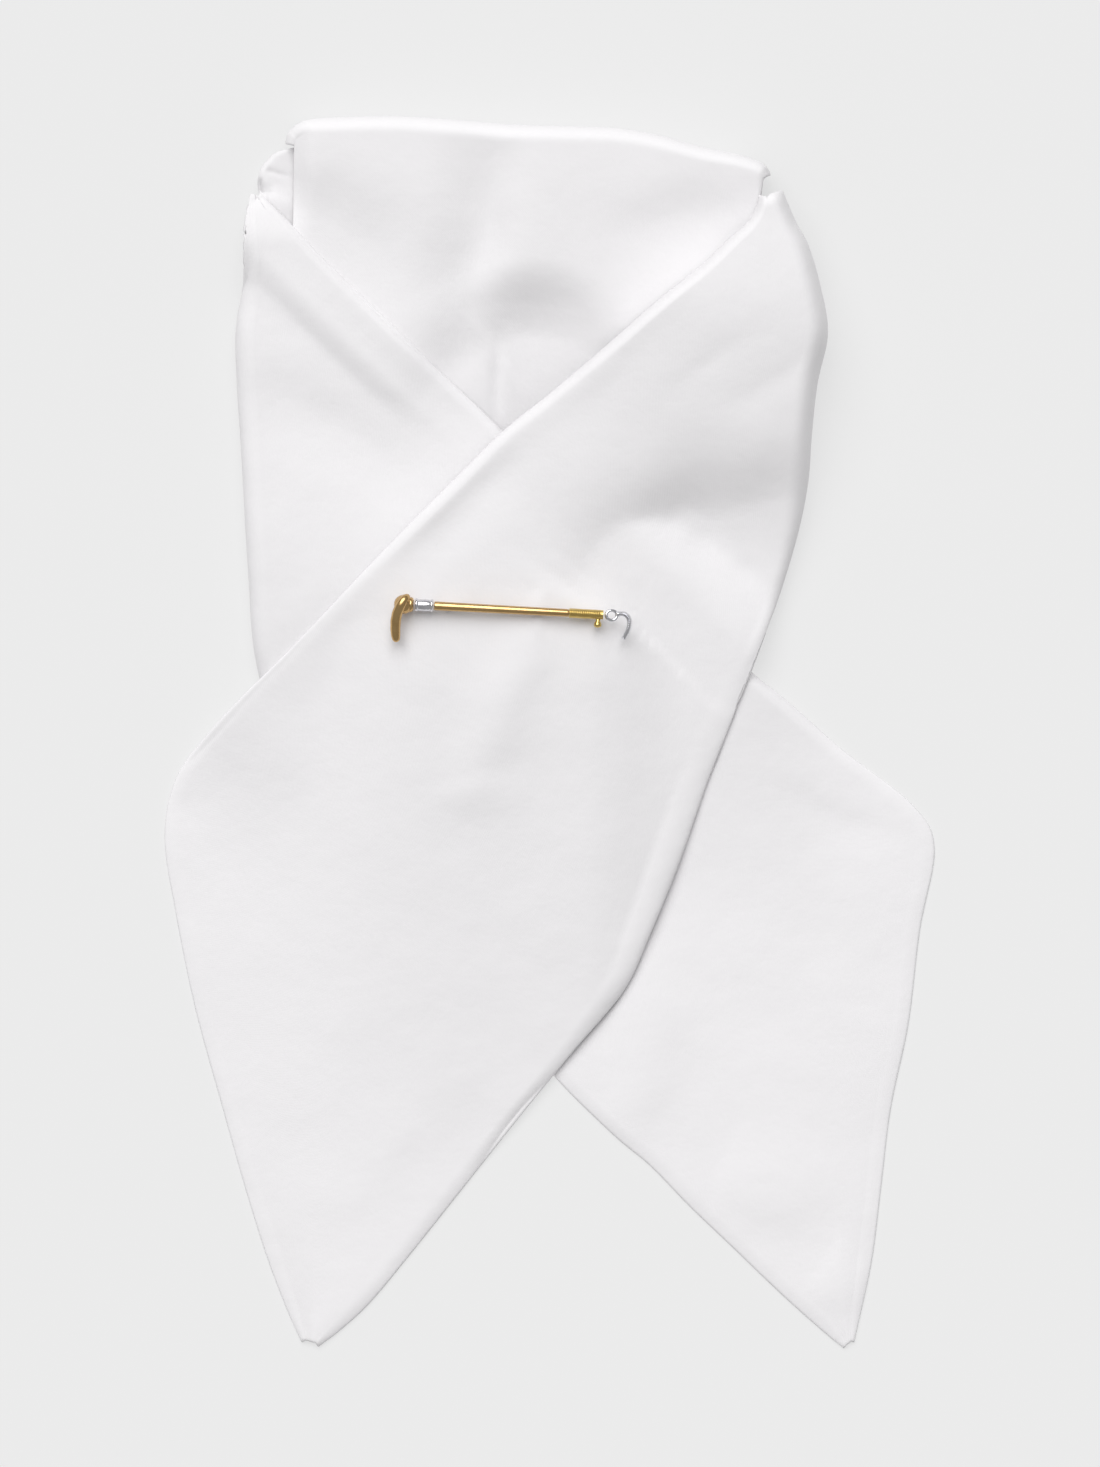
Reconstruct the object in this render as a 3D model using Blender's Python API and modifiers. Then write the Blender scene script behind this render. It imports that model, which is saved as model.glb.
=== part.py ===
"""A ready-tied stock tie laid flat, with a stock pin through its crossing.

The tie lies on the XY plane with +Z up and +Y towards the neck. The origin is on the surface,
below the middle of the whole outline. Tables are in millimetres and the scene is in metres.
"""
import math

import bmesh
import bpy
import numpy as np

MM = 0.001

# Cloth, in millimetres
WALL = 1.8
GAP = 0.6
STEP = WALL + GAP
FLOOR_LEVEL = WALL / 2
ROLL_STEPS = 4

# Sections along each strip, then steps across its flat part
BAND_GRID = (25, 11)
UNDER_GRID = (36, 12)
OVER_GRID = (40, 14)

# Hidden layers of the neck loop, in millimetres
NECK_LAYERS = 3
NECK_LAYER_HEIGHT = 2.35
NECK_HEIGHT = NECK_LAYERS * NECK_LAYER_HEIGHT
NECK_EDGE_ROUND = 0.6
NECK_LOW_SHARE = 0.45
NECK_OUTLINE_POINTS = 48
NECK_TOP_RINGS = (0.93, 0.84, 0.74, 0.62, 0.48, 0.32, 0.15)
NECK_FILL_GAP = 2.4

# Stock pin, in millimetres
PIN_STAND_OFF = 3.4
PIN_GAP = 0.3
SHAFT_RADIUS = 1.1
BINDING_RADIUS = 1.35
COLLAR_RADIUS = 1.8
HANDLE_RADIUS = 1.5
KNOB_RADIUS = 2.1
KEEPER_RADIUS = 1.0
RING_RADIUS = 1.45
RING_WIRE = 0.5
LASH_RADIUS = 0.75
STEM_RADIUS = 0.5
STEM_HOLE_RADIUS = 0.9
PIN_LEFT = (-32.0, 34.95)
PIN_RIGHT = (14.6, 32.45)
BINDING_START = 5.2
STEM_ENDS = (-28.0, 10.0)

# Strip sections: the two plan edges, then each edge's roll as its length along the cloth,
# the angle it turns through in degrees and the height of its free end. The columns are
# a_x, a_y, b_x, b_y, a_length, a_turn, a_end, b_length, b_turn, b_end
TAIL_OVER = (
    (57.0, 147.5, 63.8, 149.0, 2.5, 40, 18.5, 7.0, 110, 9.0),
    (54.5, 140.6, 67.2, 140.8, 4.0, 90, 18.0, 10.0, 130, 3.0),
    (48.5, 135.0, 71.0, 133.4, 4.5, 90, 17.4, 12.5, 150, 1.3),
    (41.2, 128.0, 74.3, 122.0, 4.5, 90, 16.6, 13.0, 150, 1.2),
    (28.9, 118.1, 76.2, 109.6, 4.5, 90, 16.2, 13.0, 150, 1.2),
    (13.8, 104.9, 73.4, 96.0, 4.5, 90, 15.6, 13.0, 150, 1.2),
    (-0.6, 92.8, 71.9, 82.5, 4.5, 90, 15.4, 13.0, 150, 1.2),
    (-12.9, 82.9, 70.9, 69.0, 4.5, 90, 15.2, 13.0, 150, 1.2),
    (-26.1, 69.9, 68.3, 55.5, 4.5, 90, 14.8, 13.0, 150, 1.2),
    (-39.1, 57.0, 63.6, 39.5, 4.5, 90, 14.4, 13.0, 150, 2.4),
    (-56.9, 38.8, 57.8, 23.5, 4.5, 90, 12.8, 13.0, 140, 7.4),
    (-72.3, 22.6, 50.8, 5.5, 4.5, 90, 10.2, 14.0, 125, 7.2),
    (-84.0, 11.2, 43.0, -14.5, 5.0, 90, 8.0, 15.0, 115, 4.6),
    (-94.9, -0.8, 35.2, -36.5, 4.0, 40, 3.6, 15.0, 110, 3.4),
    (-103.1, -12.8, 27.2, -56.0, 4.0, 10, 1.6, 13.0, 110, 3.4),
    (-106.0, -28.5, 19.8, -71.9, 4.0, 5, 0.9, 8.0, 80, 3.4),
    (-103.0, -49.0, 5.5, -88.5, 4.0, 5, 0.9, 4.0, 10, 3.4),
    (-97.6, -75.5, -9.0, -106.3, 4.0, 5, 0.9, 4.0, 5, 1.0),
    (-90.6, -101.0, -24.0, -125.2, 4.0, 5, 0.9, 4.0, 5, 0.9),
    (-84.0, -124.4, -38.5, -143.4, 4.0, 5, 0.9, 4.0, 5, 0.9),
    (-78.0, -143.6, -49.5, -156.6, 4.0, 5, 0.9, 4.0, 5, 0.9),
    (-72.3, -158.5, -58.0, -164.4, 3.0, 5, 0.9, 3.0, 5, 0.9),
    (-68.2, -167.4, -63.8, -168.6, 1.2, 5, 0.9, 1.2, 5, 0.9),
)

TAIL_UNDER = (
    (-79.2, 148.4, -82.5, 148.2, 1.2, 40, 9.6, 1.8, 100, 6.0),
    (-73.6, 143.0, -84.0, 138.0, 4.0, 90, 10.4, 8.0, 140, 1.6),
    (-63.0, 131.6, -84.3, 124.0, 4.5, 90, 11.5, 12.0, 150, 1.2),
    (-52.3, 121.2, -86.3, 110.5, 4.5, 90, 11.3, 13.0, 150, 1.2),
    (-41.2, 110.6, -86.0, 96.0, 4.5, 90, 11.0, 13.0, 150, 1.2),
    (-27.5, 97.2, -84.9, 79.0, 4.5, 90, 10.8, 13.0, 150, 1.2),
    (-12.9, 83.2, -83.9, 61.0, 4.5, 90, 10.6, 13.0, 150, 1.2),
    (0.0, 70.5, -82.8, 43.0, 4.5, 90, 10.2, 13.0, 150, 1.2),
    (13.8, 57.1, -81.1, 21.5, 4.5, 90, 9.6, 12.0, 140, 1.2),
    (27.5, 43.9, -76.0, 6.0, 4.5, 90, 8.8, 7.0, 60, 1.2),
    (41.2, 30.1, -61.0, -13.5, 4.5, 90, 7.2, 4.0, 5, 0.9),
    (54.7, 17.6, -43.0, -37.5, 4.5, 90, 4.8, 4.0, 5, 0.9),
    (65.5, 9.0, -24.0, -62.5, 4.0, 40, 2.4, 4.0, 5, 0.9),
    (80.6, -4.5, -1.5, -91.3, 4.0, 10, 1.0, 4.0, 5, 0.9),
    (99.5, -19.4, 16.5, -109.6, 4.0, 5, 0.9, 4.0, 5, 0.9),
    (105.8, -31.5, 27.5, -118.9, 4.0, 5, 0.9, 4.0, 5, 0.9),
    (101.8, -54.0, 38.5, -130.2, 4.0, 5, 0.9, 4.0, 5, 0.9),
    (98.6, -80.0, 49.5, -140.7, 4.0, 5, 0.9, 4.0, 5, 0.9),
    (93.8, -103.0, 58.5, -149.4, 4.0, 5, 0.9, 4.0, 5, 0.9),
    (91.2, -124.0, 66.5, -156.9, 4.0, 5, 0.9, 4.0, 5, 0.9),
    (88.8, -143.5, 73.5, -163.1, 4.0, 5, 0.9, 4.0, 5, 0.9),
    (85.6, -159.0, 78.6, -167.4, 2.5, 5, 0.9, 2.5, 5, 0.9),
    (83.6, -167.4, 80.9, -169.0, 0.8, 5, 0.9, 0.8, 5, 0.9),
)

NECKBAND_FRONT = (
    (-72.8, 161.8, -72.8, 134.0, 3.0, 60, 7.9, 3.0, 5, 7.9),
    (-71.6, 165.2, -70.6, 131.6, 7.0, 100, 6.4, 3.0, 5, 8.0),
    (-67.0, 168.3, -65.0, 125.0, 14.0, 135, 1.6, 3.0, 5, 8.4),
    (-57.8, 169.1, -52.0, 110.4, 18.0, 140, 1.3, 3.0, 5, 8.8),
    (-41.2, 169.4, -38.0, 95.8, 19.0, 140, 1.3, 3.0, 5, 8.8),
    (-24.8, 168.3, -24.0, 82.2, 19.0, 140, 1.3, 3.0, 5, 8.8),
    (-12.0, 167.2, -12.9, 71.4, 19.0, 140, 1.3, 3.0, 5, 8.8),
    (-2.8, 166.8, -3.0, 79.2, 19.0, 140, 1.3, 3.0, 5, 8.8),
    (8.3, 166.5, 7.0, 87.6, 19.0, 140, 1.3, 3.0, 5, 8.8),
    (19.2, 166.0, 18.0, 96.6, 18.0, 140, 1.3, 3.0, 5, 9.0),
    (30.3, 164.0, 31.0, 108.0, 17.0, 140, 1.3, 3.0, 5, 9.4),
    (41.2, 161.0, 43.0, 118.0, 15.0, 140, 1.3, 3.0, 5, 10.0),
    (52.0, 158.7, 52.0, 125.4, 12.0, 135, 1.6, 3.0, 5, 11.0),
    (58.6, 156.2, 57.6, 132.0, 7.0, 110, 8.0, 3.0, 5, 12.0),
    (60.8, 153.4, 59.6, 137.0, 3.0, 60, 12.0, 3.0, 5, 13.0),
)

# Ridges and troughs: the line each follows, its half width and its rise. The columns are
# x1, y1, x2, y2, width, rise
BAND_FOLDS = (
    (-10.0, 113.0, -1.0, 113.0, 12.0, -1.7),
    (-24.0, 144.0, -31.0, 112.0, 4.5, 1.2),
    (-25.0, 156.0, -38.0, 110.0, 5.5, -1.1),
    (-62.0, 137.0, -46.0, 131.0, 8.0, -1.4),
    (30.0, 141.0, 48.0, 143.0, 8.0, -1.3),
)

UNDER_FOLDS = (
    (-76.0, 104.0, -42.0, 97.0, 12.0, 1.6),
    (-74.0, 84.0, -34.0, 72.0, 10.0, -1.3),
    (-74.0, 30.0, -34.0, 58.0, 12.0, 1.6),
    (64.0, -8.0, 96.0, -24.0, 6.0, 1.2),
    (24.0, -78.0, 48.0, -98.0, 9.0, 1.0),
    (58.0, -124.0, 78.0, -136.0, 8.0, 1.5),
)

OVER_FOLDS = (
    (20.0, 63.0, 68.0, 73.0, 9.0, -1.8),
    (11.0, 48.0, 20.0, 63.0, 8.0, -1.2),
    (-20.0, 45.0, 4.0, 44.0, 9.0, 1.0),
    (38.0, 57.0, 35.0, 28.0, 5.5, 1.2),
    (-28.0, 35.0, 10.0, 33.0, 13.0, 1.9),
    (-3.0, 26.0, -18.0, -20.0, 6.0, 1.3),
    (44.0, -2.0, 20.0, -66.0, 9.0, 2.8),
    (-96.0, -10.0, -74.0, 2.0, 6.0, 0.8),
)

# The fuller ridges just inside the two edges that cross at the throat.
UNDER_EDGE = ((-72.0, 137.0, -30.0, 97.0, 6.0, 1.5),)
OVER_EDGE = ((46.0, 129.0, -66.0, 23.0, 6.0, 2.0),)

# Plan outline of the neck loop's hidden layers, in order round the edge.
NECK_OUTLINE = (
    (44.0, 18.0), (56.0, 40.0), (62.0, 62.0), (64.8, 82.0), (67.0, 97.0), (69.4, 109.0), (68.0, 122.0),
    (64.0, 133.0), (56.5, 145.0), (46.0, 152.0), (30.0, 156.5), (0.0, 159.5), (-30.0, 161.3),
    (-55.0, 161.8), (-66.0, 161.2), (-72.6, 160.4), (-77.6, 156.4), (-80.2, 152.2), (-78.6, 145.0),
    (-77.2, 136.0), (-77.8, 123.0), (-79.4, 108.0), (-79.2, 90.0), (-77.6, 68.0), (-76.0, 45.0),
    (-70.0, 26.0), (-54.0, 18.5), (0.0, 17.0),
)

HANDLE_PATH = ((-38.0, 35.5), (-39.2, 36.2), (-40.8, 37.4), (-42.5, 35.8), (-42.4, 32.6), (-41.7, 29.0),
               (-41.5, 25.6))
LASH_PATH = ((18.3, 32.9), (20.3, 32.6), (21.2, 30.9), (21.0, 28.4), (20.1, 25.6))

CLOTH_COLOR = (0.86, 0.86, 0.88, 1.0)
GILT_COLOR = (0.80, 0.56, 0.24, 1.0)
PALE_GILT_COLOR = (0.86, 0.70, 0.32, 1.0)
SILVER_COLOR = (0.82, 0.82, 0.84, 1.0)


def ease(low, high, value):
    """A smooth step from 0 at low to 1 at high."""
    share = np.clip((value - low) / (high - low), 0.0, 1.0)
    return share * share * (3.0 - 2.0 * share)


def soft_max(first, second, softness=0.8):
    """The larger of two heights, rounded where they meet and never below either."""
    return 0.5 * (first + second + np.sqrt((first - second) ** 2 + softness ** 2))


def beside(x, y, start, end):
    """Distance to the left of the line from start to end."""
    run = np.array(end) - np.array(start)
    run = run / np.hypot(*run)
    return (y - start[1]) * run[0] - (x - start[0]) * run[1]


def fold_height(x, y, folds):
    """Sum of the soft ridges and troughs at each plan point."""
    total = np.zeros_like(x)
    for x1, y1, x2, y2, width, rise in folds:
        run_x = x2 - x1
        run_y = y2 - y1
        along = ((x - x1) * run_x + (y - y1) * run_y) / (run_x ** 2 + run_y ** 2)
        along = np.clip(along, 0.0, 1.0)
        distance = np.hypot(x - x1 - along * run_x, y - y1 - along * run_y)
        total = total + rise * np.exp(-(distance / width) ** 2)
    return total


def neck_share(y):
    """How much of its full height the neck loop has, lower towards the crossing."""
    return NECK_LOW_SHARE + (1.0 - NECK_LOW_SHARE) * ease(14.0, 50.0, y)


def band_height(x, y):
    """Middle of the neckband's cloth: a crest along the fold, a dimple and a fuller right end."""
    height = 10.0 + 5.0 * ease(112.0, 158.0, y) + 1.8 * (1.0 - ease(84.0, 108.0, y))
    height = height + 3.0 * ease(15.0, 55.0, x)
    height = height - 5.4 * (1.0 - ease(-73.0, -64.0, x)) * ease(134.0, 152.0, y)
    return height + fold_height(x, y, BAND_FOLDS)


def under_support(x, y):
    """Lowest height for the middle of the lower strip, where it lies on the neckband."""
    left = ease(-12.0, -2.0, -beside(x, y, (-12.9, 70.0), (-73.0, 129.0)))
    right = ease(-12.0, -2.0, beside(x, y, (-12.9, 70.0), (60.0, 130.0)))
    return left * right * (band_height(x, y) + STEP)


def under_height(x, y):
    """Middle of the lower strip's cloth: high over the neck, flat on the floor at the tail."""
    own = FLOOR_LEVEL + 11.4 * ease(-30.0, 62.0, y) * (1.0 - ease(50.0, 90.0, x))
    own = own + fold_height(x, y, UNDER_FOLDS)
    return soft_max(own, under_support(x, y), 0.4) + fold_height(x, y, UNDER_EDGE)


def over_support(x, y):
    """Lowest height for the middle of the upper strip, where it lies on the other cloth."""
    past_hem = ease(-14.0, -3.5, -beside(x, y, (0.8, -93.9), (-78.0, 12.0)))
    inside_edge = ease(-9.0, -1.5, -beside(x, y, (-12.9, 83.5), (54.7, 17.9)))
    on_under = past_hem * inside_edge * (under_height(x, y) + STEP)
    return np.maximum(on_under, under_support(x, y))


def over_height(x, y):
    """Middle of the upper strip's cloth: a full fold over the right of the neck, falling to the tail."""
    own = FLOOR_LEVEL + 12.5 * ease(-60.0, 50.0, y) * ease(-95.0, -20.0, x)
    own = own + 6.8 * ease(58.0, 112.0, y) * ease(-25.0, 35.0, x)
    own = own + fold_height(x, y, OVER_FOLDS)
    return soft_max(own, over_support(x, y)) + fold_height(x, y, OVER_EDGE)


def neck_top(plan, share):
    """Top of the hidden layers, which fill the slack under the full fold of the upper strip."""
    x = plan[:, 0]
    y = plan[:, 1]
    level = NECK_HEIGHT * neck_share(y)
    past_band = ease(6.0, 18.0, -beside(x, y, (-12.9, 70.0), (60.0, 130.0)))
    past_under = ease(4.0, 14.0, beside(x, y, (-12.9, 83.5), (54.7, 17.9)))
    slack = over_height(x, y) - WALL / 2 - NECK_FILL_GAP - level
    fill = past_band * past_under * (1.0 - ease(0.8, 0.96, share))
    return level + fill * np.maximum(slack, 0.0)


def smooth_rows(table, samples):
    """Read a table along a smooth curve through its rows."""
    rows = np.array(table, dtype=float)
    last = len(rows) - 1
    place = np.clip(np.asarray(samples, dtype=float), 0.0, last)
    index = np.minimum(place.astype(int), last - 1)
    t = (place - index)[:, None]
    before = rows[np.maximum(index - 1, 0)]
    start = rows[index]
    end = rows[index + 1]
    after = rows[np.minimum(index + 2, last)]
    bend = (2 * before - 5 * start + 4 * end - after) * t ** 2
    twist = (3 * start - before - 3 * end + after) * t ** 3
    return start + 0.5 * ((end - before) * t + bend + twist)


def outward(points, other):
    """Unit plan normals of an edge, pointing away from the other edge."""
    tangent = np.gradient(points, axis=0)
    normal = np.stack((tangent[:, 1], -tangent[:, 0]), axis=1)
    normal /= np.maximum(np.hypot(normal[:, 0], normal[:, 1]), 1e-9)[:, None]
    facing = np.sum(normal * (points - other), axis=1)
    return normal * np.where(facing < 0.0, -1.0, 1.0)[:, None]


def edge_roll(edge, normal, length, turn, end, height, floor):
    """Points of a rolled edge, from where the roll starts to its free end, one list for each section."""
    turn = np.radians(turn)
    radius = length / turn
    reach = (radius + WALL / 2) * np.sin(np.minimum(turn, math.pi / 2))
    start = edge - normal * reach[:, None]
    start_height = height(start[:, 0], start[:, 1])
    columns = []
    for step in range(ROLL_STEPS + 1):
        angle = turn * step / ROLL_STEPS
        plan = start + normal * (radius * np.sin(angle))[:, None]
        fallen = (1.0 - np.cos(angle)) / (1.0 - np.cos(turn))
        level = start_height + (end - start_height) * fallen
        low = floor(plan[:, 0], plan[:, 1])
        columns.append(np.column_stack((plan, np.maximum(level, low))))
    return columns


def strip_points(table, row_count, across, height, floor):
    """Grid of points through the middle of a strip's cloth, rolled at both edges."""
    rows = smooth_rows(table, np.linspace(0, len(table) - 1, row_count))
    edge_a = rows[:, 0:2]
    edge_b = rows[:, 2:4]
    normal_a = outward(edge_a, edge_b)
    normal_b = outward(edge_b, edge_a)
    roll_a = edge_roll(edge_a, normal_a, rows[:, 4], rows[:, 5], rows[:, 6], height, floor)
    roll_b = edge_roll(edge_b, normal_b, rows[:, 7], rows[:, 8], rows[:, 9], height, floor)
    columns = roll_a[::-1]
    for step in range(1, across):
        share = step / across
        plan = roll_a[0][:, :2] * (1.0 - share) + roll_b[0][:, :2] * share
        level = height(plan[:, 0], plan[:, 1])
        columns.append(np.column_stack((plan, np.maximum(level, FLOOR_LEVEL))))
    columns.extend(roll_b)
    return np.stack(columns, axis=1)


def principled(name, color, roughness, metallic):
    """A plain Principled material."""
    material = bpy.data.materials.new(name)
    material.use_nodes = True
    shader = material.node_tree.nodes["Principled BSDF"]
    shader.inputs["Base Color"].default_value = color
    shader.inputs["Roughness"].default_value = roughness
    shader.inputs["Metallic"].default_value = metallic
    return material


def put(name, mesh, material, collection):
    """Link a mesh as a named object with its material."""
    mesh.materials.clear()
    mesh.materials.append(material)
    piece = bpy.data.objects.new(name, mesh)
    collection.objects.link(piece)
    return piece


def cloth_strip(name, points, material, collection):
    """A strip of cloth through a grid of middle points, given its wall by Solidify."""
    row_count, column_count = points.shape[:2]
    shape = bmesh.new()
    grid = [[shape.verts.new(points[i, j] * MM) for j in range(column_count)] for i in range(row_count)]
    for i in range(row_count - 1):
        for j in range(column_count - 1):
            shape.faces.new((grid[i][j], grid[i][j + 1], grid[i + 1][j + 1], grid[i + 1][j]))
    bmesh.ops.recalc_face_normals(shape, faces=shape.faces)
    mesh = bpy.data.meshes.new(name)
    shape.to_mesh(mesh)
    shape.free()
    mesh.shade_smooth()
    piece = put(name, mesh, material, collection)
    wall = piece.modifiers.new("Wall", "SOLIDIFY")
    wall.thickness = WALL * MM
    wall.offset = 0.0
    return piece


def neck_layers(material, collection):
    """The hidden layers behind the neck: one solid, grooved where its layers meet at the edge."""
    outline = np.array(NECK_OUTLINE + NECK_OUTLINE[:3])
    ring = smooth_rows(outline, np.linspace(1, len(NECK_OUTLINE) + 1, NECK_OUTLINE_POINTS + 1))[:-1]
    after = np.roll(ring, -1, axis=0)
    before = np.roll(ring, 1, axis=0)
    tangent = after - before
    inward = np.stack((-tangent[:, 1], tangent[:, 0]), axis=1)
    inward /= np.hypot(inward[:, 0], inward[:, 1])[:, None]
    centre = ring.mean(axis=0)
    profile = []
    for layer in range(NECK_LAYERS):
        low = layer * NECK_LAYER_HEIGHT
        high = low + NECK_LAYER_HEIGHT
        profile.append((NECK_EDGE_ROUND, low))
        profile.append((0.0, low + NECK_EDGE_ROUND))
        profile.append((0.0, high - NECK_EDGE_ROUND))
    profile.append((NECK_EDGE_ROUND, NECK_HEIGHT))
    loops = []
    for inset, level in profile:
        plan = ring + inward * inset
        loops.append(np.column_stack((plan, level * neck_share(plan[:, 1]))))
    for share in NECK_TOP_RINGS:
        plan = centre + (ring - centre) * share
        loops.append(np.column_stack((plan, neck_top(plan, share))))
    shape = bmesh.new()
    rings = [[shape.verts.new(point * MM) for point in loop] for loop in loops]
    count = len(rings[0])
    for lower, upper in zip(rings, rings[1:]):
        for i in range(count):
            j = (i + 1) % count
            shape.faces.new((lower[i], lower[j], upper[j], upper[i]))
    shape.faces.new(reversed(rings[0]))
    shape.faces.new(rings[-1])
    bmesh.ops.recalc_face_normals(shape, faces=shape.faces)
    mesh = bpy.data.meshes.new("neck_back")
    shape.to_mesh(mesh)
    shape.free()
    return put("neck_back", mesh, material, collection)


def pin_point(share):
    """Plan point on the pin's axis, from its left end at 0 to its right end at 1."""
    left = np.array(PIN_LEFT)
    return left + (np.array(PIN_RIGHT) - left) * share


def pin_share(x):
    """Share of the way along the pin's axis at a given x."""
    return (x - PIN_LEFT[0]) / (PIN_RIGHT[0] - PIN_LEFT[0])


def wire(name, points, radius, material, collection, resolution=3):
    """A round wire through points in millimetres, with closed ends."""
    curve = bpy.data.curves.new(name, "CURVE")
    curve.dimensions = "3D"
    curve.bevel_depth = radius * MM
    curve.bevel_resolution = resolution
    curve.use_fill_caps = True
    spline = curve.splines.new("POLY")
    spline.points.add(len(points) - 1)
    for target, point in zip(spline.points, points):
        target.co = (point[0] * MM, point[1] * MM, point[2] * MM, 1.0)
    curve.materials.append(material)
    piece = bpy.data.objects.new(name, curve)
    collection.objects.link(piece)
    return piece


def as_mesh(piece, collection):
    """Turn a curve object into a closed mesh object of the same name."""
    bpy.context.view_layer.update()
    graph = bpy.context.evaluated_depsgraph_get()
    name = piece.name
    material = piece.data.materials[0]
    mesh = bpy.data.meshes.new_from_object(piece.evaluated_get(graph))
    bpy.data.objects.remove(piece)
    shape = bmesh.new()
    shape.from_mesh(mesh)
    bmesh.ops.remove_doubles(shape, verts=shape.verts, dist=0.01 * MM)
    bmesh.ops.recalc_face_normals(shape, faces=shape.faces)
    shape.to_mesh(mesh)
    shape.free()
    return put(name, mesh, material, collection)


def plan_wire(name, path, level, radius, material, collection):
    """A smooth wire at one height through plan points."""
    plan = smooth_rows(path, np.linspace(0, len(path) - 1, 3 * len(path) - 2))
    points = np.column_stack((plan, np.full(len(plan), level)))
    return as_mesh(wire(name, points, radius, material, collection), collection)


def boolean(piece, cutter, operation):
    """Cut or join a piece with another, which becomes a hidden wire guide."""
    change = piece.modifiers.new(operation.title(), "BOOLEAN")
    change.operation = operation
    change.solver = "EXACT"
    change.object = cutter
    cutter.hide_render = True
    cutter.display_type = "WIRE"


def stock_pin(tail_over, cloth_top, cloth_low, materials, parts, guides):
    """The whip-shaped bar above the cloth and the stem that goes through it."""
    level = cloth_top + PIN_STAND_OFF
    gilt, pale_gilt, silver = materials

    def along(name, start_x, end_x, radius, material):
        ends = [pin_point(pin_share(x)) for x in (start_x, end_x)]
        points = [(*end, level) for end in ends]
        return as_mesh(wire(name, points, radius, material, parts), parts)

    along("pin_shaft", PIN_LEFT[0] + PIN_GAP, BINDING_START - PIN_GAP, SHAFT_RADIUS, gilt)
    along("pin_binding", BINDING_START, PIN_RIGHT[0], BINDING_RADIUS, pale_gilt)
    along("pin_collar", -37.0, PIN_LEFT[0], COLLAR_RADIUS, silver)

    handle = plan_wire("pin_handle", HANDLE_PATH, level, HANDLE_RADIUS, gilt, parts)
    bpy.ops.mesh.primitive_uv_sphere_add(
        segments=16, ring_count=10, radius=KNOB_RADIUS * MM,
        location=(HANDLE_PATH[2][0] * MM, (HANDLE_PATH[2][1] - 0.4) * MM, level * MM))
    knob = bpy.context.active_object
    knob.name = "handle_knob_guide"
    for holder in list(knob.users_collection):
        holder.objects.unlink(knob)
    guides.objects.link(knob)
    boolean(handle, knob, "UNION")

    keeper_top = pin_point(pin_share(13.1))[1] - BINDING_RADIUS - PIN_GAP
    keeper = ((13.1, keeper_top, level), (13.0, keeper_top - 1.9, level))
    as_mesh(wire("pin_keeper", keeper, KEEPER_RADIUS, pale_gilt, parts), parts)

    ring_x = PIN_RIGHT[0] + PIN_GAP + RING_RADIUS + RING_WIRE
    ring_y = pin_point(pin_share(ring_x))[1]
    bpy.ops.mesh.primitive_torus_add(
        major_radius=RING_RADIUS * MM, minor_radius=RING_WIRE * MM, major_segments=20, minor_segments=8,
        location=(ring_x * MM, ring_y * MM, level * MM))
    ring = bpy.context.active_object
    ring.name = "pin_ring"
    ring.data.materials.append(silver)
    ring.data.shade_smooth()
    for holder in list(ring.users_collection):
        holder.objects.unlink(ring)
    parts.objects.link(ring)
    lash_start = ring_x + RING_RADIUS + RING_WIRE + PIN_GAP + 0.1
    shift = lash_start - LASH_PATH[0][0]
    lash = [(x + shift * (1.0 - step / (len(LASH_PATH) - 1)), y) for step, (x, y) in enumerate(LASH_PATH)]
    plan_wire("pin_lash", lash, level, LASH_RADIUS, silver, parts)

    stem_level = cloth_low - PIN_GAP - STEM_RADIUS
    leg_top = level - SHAFT_RADIUS - PIN_GAP
    left = pin_point(pin_share(STEM_ENDS[0]))
    right = pin_point(pin_share(STEM_ENDS[1]))
    stem_points = [(*left, leg_top), (*left, stem_level), (*right, stem_level),
                   (*right, leg_top - BINDING_RADIUS + SHAFT_RADIUS)]
    as_mesh(wire("pin_stem", stem_points, STEM_RADIUS, silver, parts), parts)
    for number, end in enumerate((left, right)):
        drill = ((*end, cloth_top + 3.0), (*end, cloth_top - WALL - 3.0))
        cutter = as_mesh(
            wire(f"stem_hole_{number}", drill, STEM_HOLE_RADIUS, silver, guides), guides)
        boolean(tail_over, cutter, "DIFFERENCE")


def build():
    """Clear the scene and make every piece."""
    for piece in list(bpy.data.objects):
        bpy.data.objects.remove(piece)
    parts = bpy.data.collections.new("stock tie")
    guides = bpy.data.collections.new("guides")
    for collection in (parts, guides):
        bpy.context.scene.collection.children.link(collection)
    cloth = [principled(f"white cotton {place}", CLOTH_COLOR, 0.8, 0.0)
             for place in ("neck back", "neckband", "lower strip", "upper strip")]
    gilt = principled("gilt metal", GILT_COLOR, 0.3, 1.0)
    pale_gilt = principled("pale gilt metal", PALE_GILT_COLOR, 0.3, 1.0)
    silver = principled("silver-coloured metal", SILVER_COLOR, 0.25, 1.0)

    def floor(x, y):
        return np.full_like(x, FLOOR_LEVEL)

    def under_floor(x, y):
        return np.maximum(under_support(x, y), FLOOR_LEVEL)

    def over_floor(x, y):
        return np.maximum(over_support(x, y), FLOOR_LEVEL)

    neck_layers(cloth[0], parts)
    band = strip_points(NECKBAND_FRONT, *BAND_GRID, band_height, floor)
    cloth_strip("neckband_front", band, cloth[1], parts)
    under = strip_points(TAIL_UNDER, *UNDER_GRID, under_height, under_floor)
    cloth_strip("tail_under", under, cloth[2], parts)
    over = strip_points(TAIL_OVER, *OVER_GRID, over_height, over_floor)
    tail_over = cloth_strip("tail_over", over, cloth[3], parts)

    seat = np.array([pin_point(pin_share(x)) for x in np.linspace(*STEM_ENDS, 19)])
    seat_height = over_height(seat[:, 0], seat[:, 1])
    cloth_top = float(seat_height.max()) + WALL / 2
    cloth_low = float(seat_height.min()) - WALL / 2
    stock_pin(tail_over, cloth_top, cloth_low, (gilt, pale_gilt, silver), parts, guides)


build()
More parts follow.
